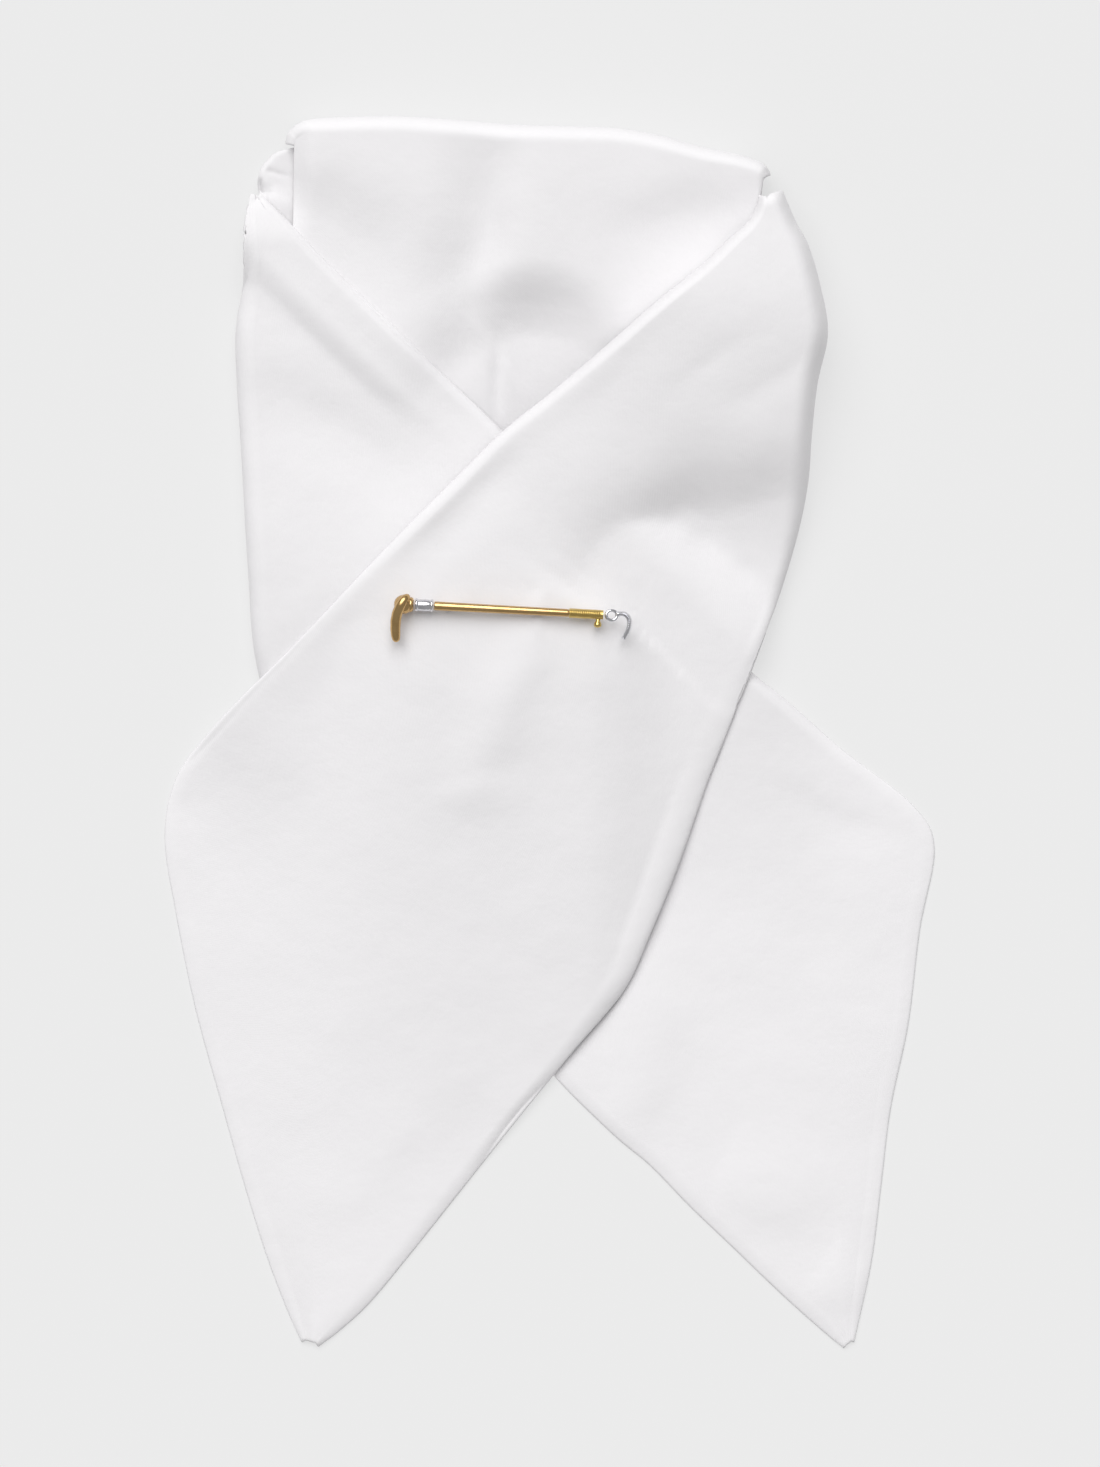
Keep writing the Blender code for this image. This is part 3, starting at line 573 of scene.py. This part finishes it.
def over_height(x, y):
    own = FLOOR_LEVEL + OVER_RISE * ramp(-116.0, 16.0, y) * ease(-95.0, -32.0, x)
    own = own + CROSSING_SWELL * bell(x, -13.0, 36.0) * bell(y, 68.0, 26.0)
    own = own + OVER_NECK_RISE * ramp(60.0, 116.0, y) * ease(-25.0, 35.0, x)
    own = own - OVER_RIGHT_FALL * ease(10.0, 43.0, x) * (1.0 - ramp(34.0, 71.0, y))
    own = own - OVER_TOP_FALL * ease(116.0, 148.0, y)
    own = own + fold_height(x, y, OVER_FOLDS) + slack_waves(x, y, turn=3.1)
    height = soft_max(own, over_support(x, y), OVER_SOFTNESS)
    height = height - OVER_END_FALL * rounded_end(-beside(x, y, *OVER_NECK_END), 4.0)
    return height + fold_height(x, y, OVER_EDGE) + fold_height(x, y, PIN_PUCKER)


stem_x, stem_y = np.linspace(*STEM_ENDS, 10).T
print("upper strip along the pin's stem, in mm:", over_height(stem_x, stem_y).round(1))
print("lower strip there:", under_height(stem_x, stem_y).round(1))

# %% [markdown]
# A sheet is a flat grid bent to shape. The rolled edges are arcs that start a little inside the
# outline, and the middle is filled between them. A grid primitive gives the faces and the UV map, and
# every point is then set from the sections. The UV map is stretched to the cloth's real lengths.

# %% Strip shaping
def outward(points, other):
    tangent = np.gradient(points, axis=0)
    normal = np.stack((tangent[:, 1], -tangent[:, 0]), axis=1)
    normal /= np.maximum(np.hypot(normal[:, 0], normal[:, 1]), 1e-9)[:, None]
    facing = np.sum(normal * (points - other), axis=1)
    return normal * np.where(facing < 0.0, -1.0, 1.0)[:, None]


def edge_roll(edge, normal, roll, steps, height, floor):
    length, turn, end = roll.T
    turn = np.radians(turn)
    end = end - (MODEL_FLOOR_LEVEL - FLOOR_LEVEL)
    radius = length / turn
    reach = (radius + CLOTH_THICKNESS / 2) * np.sin(np.minimum(turn, math.pi / 2))
    start = edge - normal * reach[:, None]
    start_height = height(start[:, 0], start[:, 1])
    columns = []
    for step in range(steps + 1):
        angle = turn * step / steps
        plan = start + normal * (radius * np.sin(angle))[:, None]
        fallen = (1.0 - np.cos(angle)) / (1.0 - np.cos(turn))
        level = start_height + (end - start_height) * fallen
        columns.append(np.column_stack((plan, np.maximum(level, floor(plan[:, 0], plan[:, 1])))))
    return columns


def strip_points(table, row_count, across, roll_steps, height, floor):
    rows = smooth_rows(table, np.linspace(0, len(table) - 1, row_count))
    edge_a = rows[:, 0:2]
    edge_b = rows[:, 2:4]
    roll_a = edge_roll(edge_a, outward(edge_a, edge_b), rows[:, 4:7], roll_steps, height, floor)
    roll_b = edge_roll(edge_b, outward(edge_b, edge_a), rows[:, 7:10], roll_steps, height, floor)
    columns = roll_a[::-1]
    for step in range(1, across):
        share = step / across
        plan = roll_a[0][:, :2] * (1.0 - share) + roll_b[0][:, :2] * share
        level = height(plan[:, 0], plan[:, 1])
        columns.append(np.column_stack((plan, np.maximum(level, FLOOR_LEVEL))))
    columns.extend(roll_b)
    return np.stack(columns, axis=1)


print("strip shaping is ready")

# %% [markdown]
# The UV map and the area need lengths along the cloth, so they are added up from point to point along
# rows and columns. The area of each small face is half the product of its two diagonals, crossed.

# %% Sheet measures
def lengths(points, axis):
    step = np.linalg.norm(np.diff(points, axis=axis), axis=2)
    pad = [(0, 0), (0, 0)]
    pad[axis] = (1, 0)
    return np.pad(np.cumsum(step, axis=axis), pad)


def strip_area(points):
    grid = points * MM
    first = grid[1:, 1:] - grid[:-1, :-1]
    second = grid[1:, :-1] - grid[:-1, 1:]
    return float(np.linalg.norm(np.cross(first, second), axis=2).sum() / 2)


print("sheet measures are ready")

# %% [markdown]
# The wall comes from Solidify, and a vertex group thins it towards the hems, so an edge is rounded
# like a turned and pressed one instead of cut square. The modifier is applied, because the finished
# piece should be plain mesh.

# %% Sheet making
HEM_THINNEST = 0.12


def deselect():
    if bpy.context.object and bpy.context.object.mode != "OBJECT":
        bpy.ops.object.mode_set(mode="OBJECT")
    bpy.ops.object.select_all(action="DESELECT")


def stretch_uv(mesh, along, across):
    corner = np.zeros(len(mesh.loops), dtype=np.int32)
    mesh.loops.foreach_get("vertex_index", corner)
    mesh.uv_layers[0].name = "cloth"
    uv = np.stack((across.reshape(-1)[corner], along.reshape(-1)[corner]), axis=1)
    mesh.uv_layers[0].data.foreach_set("uv", uv.reshape(-1))


def face_up(mesh):
    normal = np.zeros(len(mesh.polygons) * 3)
    mesh.polygons.foreach_get("normal", normal)
    if normal[2::3].mean() < 0.0:
        mesh.flip_normals()


def thin_hems(sheet, along, across):
    """Weights that run from 0 at the rim to 1 a little way in."""
    from_start = np.minimum(along, along[-1] - along)
    from_side = np.minimum(across, across[:, -1:] - across)
    inside = np.clip(np.minimum(from_start, from_side) / MM / HEM_ROUND, 0.0, 1.0)
    weight = np.sqrt(1.0 - (1.0 - inside) ** 2).reshape(-1)
    group = sheet.vertex_groups.new(name="wall")
    for index in np.flatnonzero(weight < 1.0):
        group.add([int(index)], float(weight[index]), "REPLACE")
    full = np.flatnonzero(weight >= 1.0)
    group.add([int(index) for index in full], 1.0, "REPLACE")


def cloth_sheet(name, points):
    row_count, column_count = points.shape[:2]
    deselect()
    bpy.ops.mesh.primitive_grid_add(
        x_subdivisions=column_count - 1, y_subdivisions=row_count - 1, size=1.0)
    sheet = bpy.context.object
    sheet.name = name
    sheet.data.vertices.foreach_set("co", (points * MM).reshape(-1))
    along = lengths(points, 0) * MM
    across = lengths(points, 1) * MM
    stretch_uv(sheet.data, along, across)
    thin_hems(sheet, along, across)
    sheet.data.update()
    face_up(sheet.data)
    wall = sheet.modifiers.new("wall", "SOLIDIFY")
    wall.thickness = CLOTH_THICKNESS * MM
    wall.offset = 0.0
    wall.vertex_group = "wall"
    wall.thickness_vertex_group = HEM_THINNEST
    bpy.ops.object.modifier_apply(modifier=wall.name)
    sheet.vertex_groups.clear()
    sheet.data.shade_smooth()
    flat = [round(np.mean(side) / MM) for side in (across[:, -1], along[-1])]
    area = strip_area(points)
    print(name, "faces", len(sheet.data.polygons), "mean width and length in mm", flat,
          "area in cm2", round(area * 1e4))
    return sheet, area


print("sheet making is ready")

# %% [markdown]
# The neckband is the stretch across the front of the neck. Its top edge is a soft fold that rolls
# over towards the back, and it sinks into a dimple above the crossing. Its lower edge is hidden, so
# it simply runs on a little way under the two strips. A cloth simulation would find folds of its own,
# and a section table puts them where the real ones are.

# %% Neckband
def bare_floor(x, y):
    return np.full_like(x, FLOOR_LEVEL)


band_points = strip_points(
    NECKBAND_FRONT, row_count=150, across=84, roll_steps=14, height=band_height, floor=bare_floor)
neckband, band_area = cloth_sheet("neckband_cloth", band_points)

# %% [markdown]
# The lower strip comes round the left of the neck, where it is rolled, and runs down to the right
# tail, where it is flat and hemmed. One table shapes it from end to end, so that the roll opens into
# the hem without a seam. Its rolled edge never sinks through the neckband.

# %% Lower strip
def under_floor(x, y):
    return np.maximum(under_support(x, y), FLOOR_LEVEL)


under_points = strip_points(
    TAIL_UNDER, row_count=240, across=84, roll_steps=12, height=under_height, floor=under_floor)
lower_strip, under_area = cloth_sheet("lower_strip_cloth", under_points)

# %% [markdown]
# The upper strip comes round the right of the neck, bulges over the side, crosses on top and runs
# down to the left tail. Its right edge stays rolled down to the kink, where it turns flat. It gets
# the most rows, because the sharpest folds of the tie are in it.

# %% Upper strip
def over_floor(x, y):
    return np.maximum(over_support(x, y), FLOOR_LEVEL)


over_points = strip_points(
    TAIL_OVER, row_count=260, across=96, roll_steps=12, height=over_height, floor=over_floor)
upper_strip, over_area = cloth_sheet("upper_strip_cloth", over_points)

# %% [markdown]
# Behind all of this the neckband goes on round the neck. Laid flat, it lies folded under the front in
# layers. Only a corner shows at the top left, but the layers can be seen from the sides and from
# below, so they are one long sheet folded twice. The table gives how far the layers reach to the left
# and to the right at each height of the plan. The columns are y, left, right

# %% Neck sections
NECK_SECTIONS = (
    (17.5, -52.0, 43.5),
    (22.0, -64.0, 46.5),
    (30.0, -72.0, 51.0),
    (45.0, -76.0, 57.5),
    (68.0, -77.6, 63.0),
    (90.0, -79.2, 66.0),
    (108.0, -79.4, 68.4),
    (123.0, -77.8, 66.8),
    (136.0, -77.2, 61.5),
    (145.0, -78.6, 55.5),
    (150.0, -79.9, 48.5),
    (154.0, -79.4, 39.0),
    (157.0, -77.4, 26.0),
    (159.5, -74.2, 0.0),
    (161.2, -66.0, -30.0),
)
NECK_CREASES = (
    (-82.0, 155.4, -77.5, 153.8, -71.0, 151.6, 0.9, 0.7, -0.55),
    (-82.0, 154.5, -77.0, 147.5, -70.5, 141.0, 1.3, 1.0, 0.8),
)
print("neck layers from", NECK_SECTIONS[0][0], "to", NECK_SECTIONS[-1][0], "mm up the plan")

# %% [markdown]
# The layers have to fit under the front sheets, so the height of one layer is half the room below the
# lowest sheet above it, within limits. Where a sheet doesn't reach, it is taken to be far above.

# %% Room for the layers
LAYER_PITCH = 3.4
THINNEST_PITCH = 1.1
FAR_ABOVE = 20.0
LOW_END_SHARE = 0.52


def layer_pitch(x, y):
    """The height of one layer, which is less where the sheets above lie low."""
    past_under = ease(0.0, 12.0, beside(x, y, *UNDER_INNER_EDGE))
    past_over = 1.0 - ease(-50.0, -25.0, x)
    under_cover = under_height(x, y) + FAR_ABOVE * past_under
    over_cover = over_height(x, y) + FAR_ABOVE * past_over
    cover = np.minimum(np.minimum(under_cover, over_cover), band_height(x, y))
    pitch = np.clip((cover - STEP - GAP - FLOOR_LEVEL) / 2, THINNEST_PITCH, LAYER_PITCH)
    return pitch * (LOW_END_SHARE + (1.0 - LOW_END_SHARE) * ease(14.0, 50.0, y))


print("one layer at the middle, in mm:", layer_pitch(np.zeros(1), np.full(1, 120.0)).round(1))

# %% [markdown]
# The sheet's path runs along the top layer, round the left fold, back along the middle, round the
# right fold and along the floor. Each fold is half a circle as high as one layer. Two small creases
# are pressed into the corner of the top layer that shows.

# %% Neck layers
LAYER_END = 8.0


def neck_points(row_count, flat_count, turn_count):
    rows = smooth_rows(NECK_SECTIONS, np.linspace(0, len(NECK_SECTIONS) - 1, row_count))
    y, left, right = rows.T
    left_bend = layer_pitch(left, y) / 2
    right_bend = layer_pitch(right, y) / 2
    columns = []
    for share in np.linspace(0.0, 1.0, flat_count):
        x = (right - LAYER_END) * (1 - share) + (left + left_bend) * share
        columns.append((x, FLOOR_LEVEL + 2 * layer_pitch(x, y)))
    for share in np.linspace(0.0, 1.0, turn_count)[1:]:
        angle = math.pi * share
        level = FLOOR_LEVEL + left_bend * (3 + math.cos(angle))
        columns.append((left + left_bend * (1 - math.sin(angle)), level))
    for share in np.linspace(0.0, 1.0, flat_count)[1:]:
        x = (left + left_bend) * (1 - share) + (right - right_bend) * share
        columns.append((x, FLOOR_LEVEL + layer_pitch(x, y)))
    for share in np.linspace(0.0, 1.0, turn_count)[1:]:
        angle = math.pi * share
        level = FLOOR_LEVEL + right_bend * (1 + math.cos(angle))
        columns.append((right - right_bend * (1 - math.sin(angle)), level))
    for share in np.linspace(0.0, 1.0, flat_count)[1:]:
        x = (right - right_bend) * (1 - share) + (left + LAYER_END) * share
        columns.append((x, np.full_like(x, FLOOR_LEVEL)))
    points = np.stack([np.column_stack((x, y, level)) for x, level in columns], axis=1)
    top = points[:, :flat_count]
    top[..., 2] += fold_height(top[..., 0], top[..., 1], NECK_CREASES)
    return points


back_points = neck_points(row_count=90, flat_count=70, turn_count=12)
neck_sheet, neck_area = cloth_sheet("neck_layers_cloth", back_points)

# %% [markdown]
# The pin is shaped like a small hunting whip. Each part of it is drawn out from a filled circle: the
# end face is extruded to the next station, turned to face along the path and resized. A station is a
# place and a radius, so the same few strokes make a straight bar, a wound binding or a crook. The rows
# are x, y, height above the pin's axis, radius

# %% Drawing out metal
pin_low, pin_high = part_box("pin_shaft")
PIN_LEVEL = (pin_low[2] + pin_high[2]) / 2 / MM


def headings(path):
    angles = []
    for index in range(len(path)):
        before = path[max(index - 1, 0)]
        after = path[min(index + 1, len(path) - 1)]
        angles.append(math.atan2(after.y - before.y, after.x - before.x))
    return np.unwrap(angles)


def draw_out(name, stations, sides=24):
    path = [Vector((x, y, PIN_LEVEL + lift)) * MM for x, y, lift, radius in stations]
    turns = headings(path)
    deselect()
    bpy.ops.mesh.primitive_circle_add(
        vertices=sides, radius=stations[0][3] * MM, fill_type="NGON", location=path[0],
        rotation=(0.0, math.pi / 2, turns[0]))
    piece = bpy.context.object
    piece.name = name
    bpy.ops.object.mode_set(mode="EDIT")
    bpy.ops.mesh.select_all(action="SELECT")
    for index in range(1, len(path)):
        shift = path[index] - path[index - 1]
        bpy.ops.mesh.extrude_region_move(TRANSFORM_OT_translate={"value": tuple(shift)})
        turn = turns[index] - turns[index - 1]
        if abs(turn) > 1e-6:
            bpy.ops.transform.rotate(
                value=-turn, orient_axis="Z", center_override=tuple(path[index]))
        size = stations[index][3] / stations[index - 1][3]
        bpy.ops.transform.resize(value=(size, size, size), center_override=tuple(path[index]))
    bpy.ops.mesh.select_all(action="SELECT")
    bpy.ops.mesh.normals_make_consistent(inside=False)
    bpy.ops.object.mode_set(mode="OBJECT")
    bpy.ops.object.transform_apply(location=True, rotation=True, scale=True)
    bpy.ops.object.shade_smooth_by_angle(angle=math.radians(50.0))
    print(name, "faces", len(piece.data.polygons))
    return piece


def between(start, end, profile):
    """Stations along a straight axis from a profile of distance and radius."""
    start = Vector(start)
    run = (Vector(end) - start).normalized()
    return [(*(start + run * distance), 0.0, radius) for distance, radius in profile]


print("pin axis height in mm:", round(PIN_LEVEL, 2))

# %% [markdown]
# The shaft is a plain gilt bar, a little thinner towards the binding. The binding is wire wound round
# the end, so its radius goes up and down once for each turn. The collar has a bead at each end.

# %% Shaft, binding and collar
SHAFT_START = (-31.7, 34.93)
SHAFT_END = (5.18, 32.95)
BINDING_SPAN = ((5.2, 32.95), (14.6, 32.45))
COLLAR_SPAN = ((-37.0, 35.2), (-31.9, 34.95))
WIRE_PITCH = 0.52
WIRE_PROFILE = ((0.0, 1.2), (0.13, 1.35), (0.31, 1.36), (0.46, 1.22))

shaft_length = math.dist(SHAFT_START, SHAFT_END)
shaft = draw_out("whip_shaft", between(SHAFT_START, SHAFT_END, (
    (0.0, 1.05), (0.15, 1.18), (0.4, 1.22), (shaft_length * 0.5, 1.14), (shaft_length - 0.4, 1.08),
    (shaft_length - 0.1, 1.02), (shaft_length, 0.9))))
binding_length = math.dist(*BINDING_SPAN)
wound = [(0.0, 1.0), (0.06, 1.18)]
for turn in range(int(binding_length / WIRE_PITCH) - 1):
    start = 0.1 + turn * WIRE_PITCH
    wound += [(start + distance, radius) for distance, radius in WIRE_PROFILE]
wound += [(binding_length - 0.12, 1.3), (binding_length, 1.1)]
binding = draw_out("whip_binding", between(*BINDING_SPAN, wound))
collar = draw_out("whip_collar", between(*COLLAR_SPAN, (
    (0.0, 1.45), (0.12, 1.72), (0.45, 1.86), (0.8, 1.72), (0.95, 1.56), (1.3, 1.6), (2.6, 1.66),
    (3.9, 1.6), (4.2, 1.52), (4.35, 1.66), (4.65, 1.8), (4.95, 1.66), (5.1, 1.35))))

# %% [markdown]
# The handle is a crook: a round head at the end of the bar, and an arm that starts over the head and
# turns down. One stroke can't turn so sharply, so the two are drawn separately and joined.

# %% Crook
head = draw_out("whip_crook", between((-37.3, 35.2), (-42.9, 35.5), (
    (0.0, 1.4), (0.2, 1.8), (0.7, 2.1), (1.0, 2.0), (1.3, 2.3), (2.0, 2.6), (2.9, 2.65), (3.8, 2.4),
    (4.6, 1.85), (5.1, 1.2), (5.35, 0.4))))
arm = draw_out("crook_arm", (
    (-38.5, 37.9, 1.1, 0.35), (-38.8, 37.6, 1.4, 0.85), (-39.4, 37.0, 1.8, 1.2),
    (-40.2, 36.0, 2.0, 1.38), (-41.0, 34.6, 1.8, 1.45), (-41.8, 32.8, 1.2, 1.47),
    (-42.2, 30.8, 0.5, 1.45), (-42.3, 28.6, 0.0, 1.4), (-42.2, 26.8, 0.0, 1.28),
    (-42.05, 25.7, 0.0, 1.05), (-41.95, 25.2, 0.0, 0.7), (-41.9, 25.0, 0.0, 0.25)))
deselect()
arm.select_set(True)
head.select_set(True)
bpy.context.view_layer.objects.active = head
bpy.ops.object.join()
crook = bpy.context.object
print("crook faces", len(crook.data.polygons))

# %% [markdown]
# Past the binding hang the small parts that a whip's lash is tied by. The keeper is a small knob below
# the binding, drawn out like the bar.

# %% Keeper
keeper = draw_out("whip_keeper", (
    (13.1, 31.3, 0.0, 0.55), (13.1, 31.0, 0.0, 0.6), (13.08, 30.6, 0.0, 0.64),
    (13.06, 30.3, 0.0, 0.9), (13.04, 29.8, 0.0, 1.05), (13.02, 29.4, 0.0, 1.02),
    (13.0, 29.1, 0.0, 0.75), (13.0, 28.95, 0.0, 0.3)))

# %% [markdown]
# The ring is a torus at the place of the model's ring. A bent wire ring is never quite round, so it is
# tilted and squeezed a little.

# %% Ring
RING_RADIUS = 1.42
RING_WIRE = 0.46
RING_TILT = math.radians(12.0)
RING_SQUEEZE = (1.06, 0.94, 1.1)

ring_low, ring_high = (Vector(corner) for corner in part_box("pin_ring"))
ring_middle = (ring_low + ring_high) / 2
deselect()
bpy.ops.mesh.primitive_torus_add(
    major_radius=RING_RADIUS * MM, minor_radius=RING_WIRE * MM, major_segments=48,
    minor_segments=14, location=ring_middle, rotation=(0.0, RING_TILT, 0.0))
ring = bpy.context.object
ring.name = "whip_ring"
bpy.ops.object.mode_set(mode="EDIT")
bpy.ops.mesh.select_all(action="SELECT")
bpy.ops.transform.resize(value=RING_SQUEEZE, center_override=tuple(ring_middle))
bpy.ops.object.mode_set(mode="OBJECT")
bpy.ops.object.transform_apply(location=True, rotation=True, scale=True)
bpy.ops.object.shade_smooth()
print("whip_ring faces", len(ring.data.polygons))

# %% [markdown]
# The lash is a short twisted end that hangs from the ring. The twist is the same trick as the binding:
# the radius goes up and down from one station to the next.

# %% Lash
LASH_LINE = ((18.1, 32.6), (20.2, 32.7), (21.6, 31.3), (21.4, 28.6), (20.0, 25.7))
LASH_STATIONS = 40
LASH_RADIUS = 0.68
LASH_SWELL = 0.1
LASH_TIP_SHARE = 0.45

lash_plan = smooth_rows(LASH_LINE, np.linspace(0, len(LASH_LINE) - 1, LASH_STATIONS))
lash_rows = []
for index, (x, y) in enumerate(lash_plan):
    swell = LASH_SWELL if index % 2 == 0 else -LASH_SWELL
    share = LASH_TIP_SHARE if index in (0, LASH_STATIONS - 1) else 1.0
    lash_rows.append((x, y, 0.0, (LASH_RADIUS + swell) * share))
lash = draw_out("whip_lash", lash_rows, sides=16)

# %% [markdown]
# Every finished piece takes its material, rides on the root body, and hides the model node it
# stands for. The cloth areas are printed.

def dress(piece, material, slot, *nodes):
    piece.data.materials.clear()
    piece.data.materials.append(material)
    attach(piece, "root")
    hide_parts(*nodes)


dress(neck_sheet, white_cotton, "cloth_back", "neck_back")
dress(neckband, white_cotton, "cloth_band", "neckband_front")
dress(lower_strip, white_cotton, "cloth_under", "tail_under")
dress(upper_strip, white_cotton, "cloth_over", "tail_over")
print("cloth areas in cm2:",
      [round(area * 1e4) for area in (neck_area, band_area, under_area, over_area)])

# %% [markdown]
# The pin's parts take their metals. The steel stem behind the bar keeps the model's own shape.

dress(shaft, gilt, "gilt", "pin_shaft")
dress(crook, gilt, "gilt", "pin_handle")
dress(binding, pale_gilt, "pale_gilt", "pin_binding")
dress(keeper, pale_gilt, "pale_gilt", "pin_keeper")
dress(collar, silver, "silver", "pin_collar")
dress(ring, silver, "silver", "pin_ring")
dress(lash, silver, "silver", "pin_lash")
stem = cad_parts["pin_stem"]
for slot in stem.material_slots:
    slot.material = silver
print("stem faces", len(stem.data.polygons))

# %% [markdown]
# The floor is a wide pale plane. Its glow is painted light: it shines a little by itself, as a
# product photographer's light table does, which lifts the shadows on it and keeps them faint.

# %% Floor
FLOOR_TONE = 0.22
FLOOR_GLOW = 0.60
FLOOR_SIDE = 8.0

deselect()
bpy.ops.mesh.primitive_plane_add(size=FLOOR_SIDE, location=(0.0, 0.0, 0.0))
surface = bpy.context.object
surface.name = "pale_floor"
# The emission below is painted light that lightens the shadows on the floor.
glowing_floor = Board("pale floor", Roughness=0.9, Emission_Strength=FLOOR_GLOW)
cloudiness = glowing_floor.add("ShaderNodeTexNoise", {}, {"Scale": 3.0, "Detail": 2.0})
tone = glowing_floor.add(
    "ShaderNodeMix", {"data_type": "RGBA"},
    {MIX_SHARE: cloudiness, MIX_FIRST: (FLOOR_TONE, FLOOR_TONE, FLOOR_TONE, 1.0),
     MIX_SECOND: (FLOOR_TONE * 0.99, FLOOR_TONE * 0.99, FLOOR_TONE * 0.99, 1.0)}, MIX_RESULT)
glowing_floor.feed("Base Color", tone)
surface.data.materials.append(glowing_floor.material)
print("floor side in m:", FLOOR_SIDE)

# %% [markdown]
# The main light comes from the neck's side and a little from the left. A sun lights the whole floor
# evenly, and its wide angle makes it as soft as a studio soft box, so shadows are short and blurred.
# An even pale sky fills them.

# %% Light
KEY_HEIGHT_ANGLE = math.radians(56.0)
KEY_SIDE_ANGLE = math.radians(16.0)
KEY_WIDTH_ANGLE = math.radians(55.0)
KEY_POWER = 2.46
SKY_POWER = 0.35

key = bpy.data.lights.new("neck side light", "SUN")
key.energy = KEY_POWER
key.angle = KEY_WIDTH_ANGLE
key_holder = bpy.data.objects.new("neck side light", key)
level_share = math.cos(KEY_HEIGHT_ANGLE)
toward = Vector((-level_share * math.sin(KEY_SIDE_ANGLE), level_share * math.cos(KEY_SIDE_ANGLE),
                 math.sin(KEY_HEIGHT_ANGLE)))
key_holder.rotation_mode = "QUATERNION"
key_holder.rotation_quaternion = (-toward).to_track_quat("-Z", "Y")
bpy.context.scene.collection.objects.link(key_holder)

sky = bpy.data.worlds.new("pale sky")
sky.use_nodes = True
sky.node_tree.nodes["Background"].inputs["Color"].default_value = (1.0, 1.0, 1.0, 1.0)
sky.node_tree.nodes["Background"].inputs["Strength"].default_value = SKY_POWER
bpy.context.scene.world = sky
bpy.context.scene.view_settings.view_transform = "Standard"
print("light from", [round(v, 2) for v in toward])
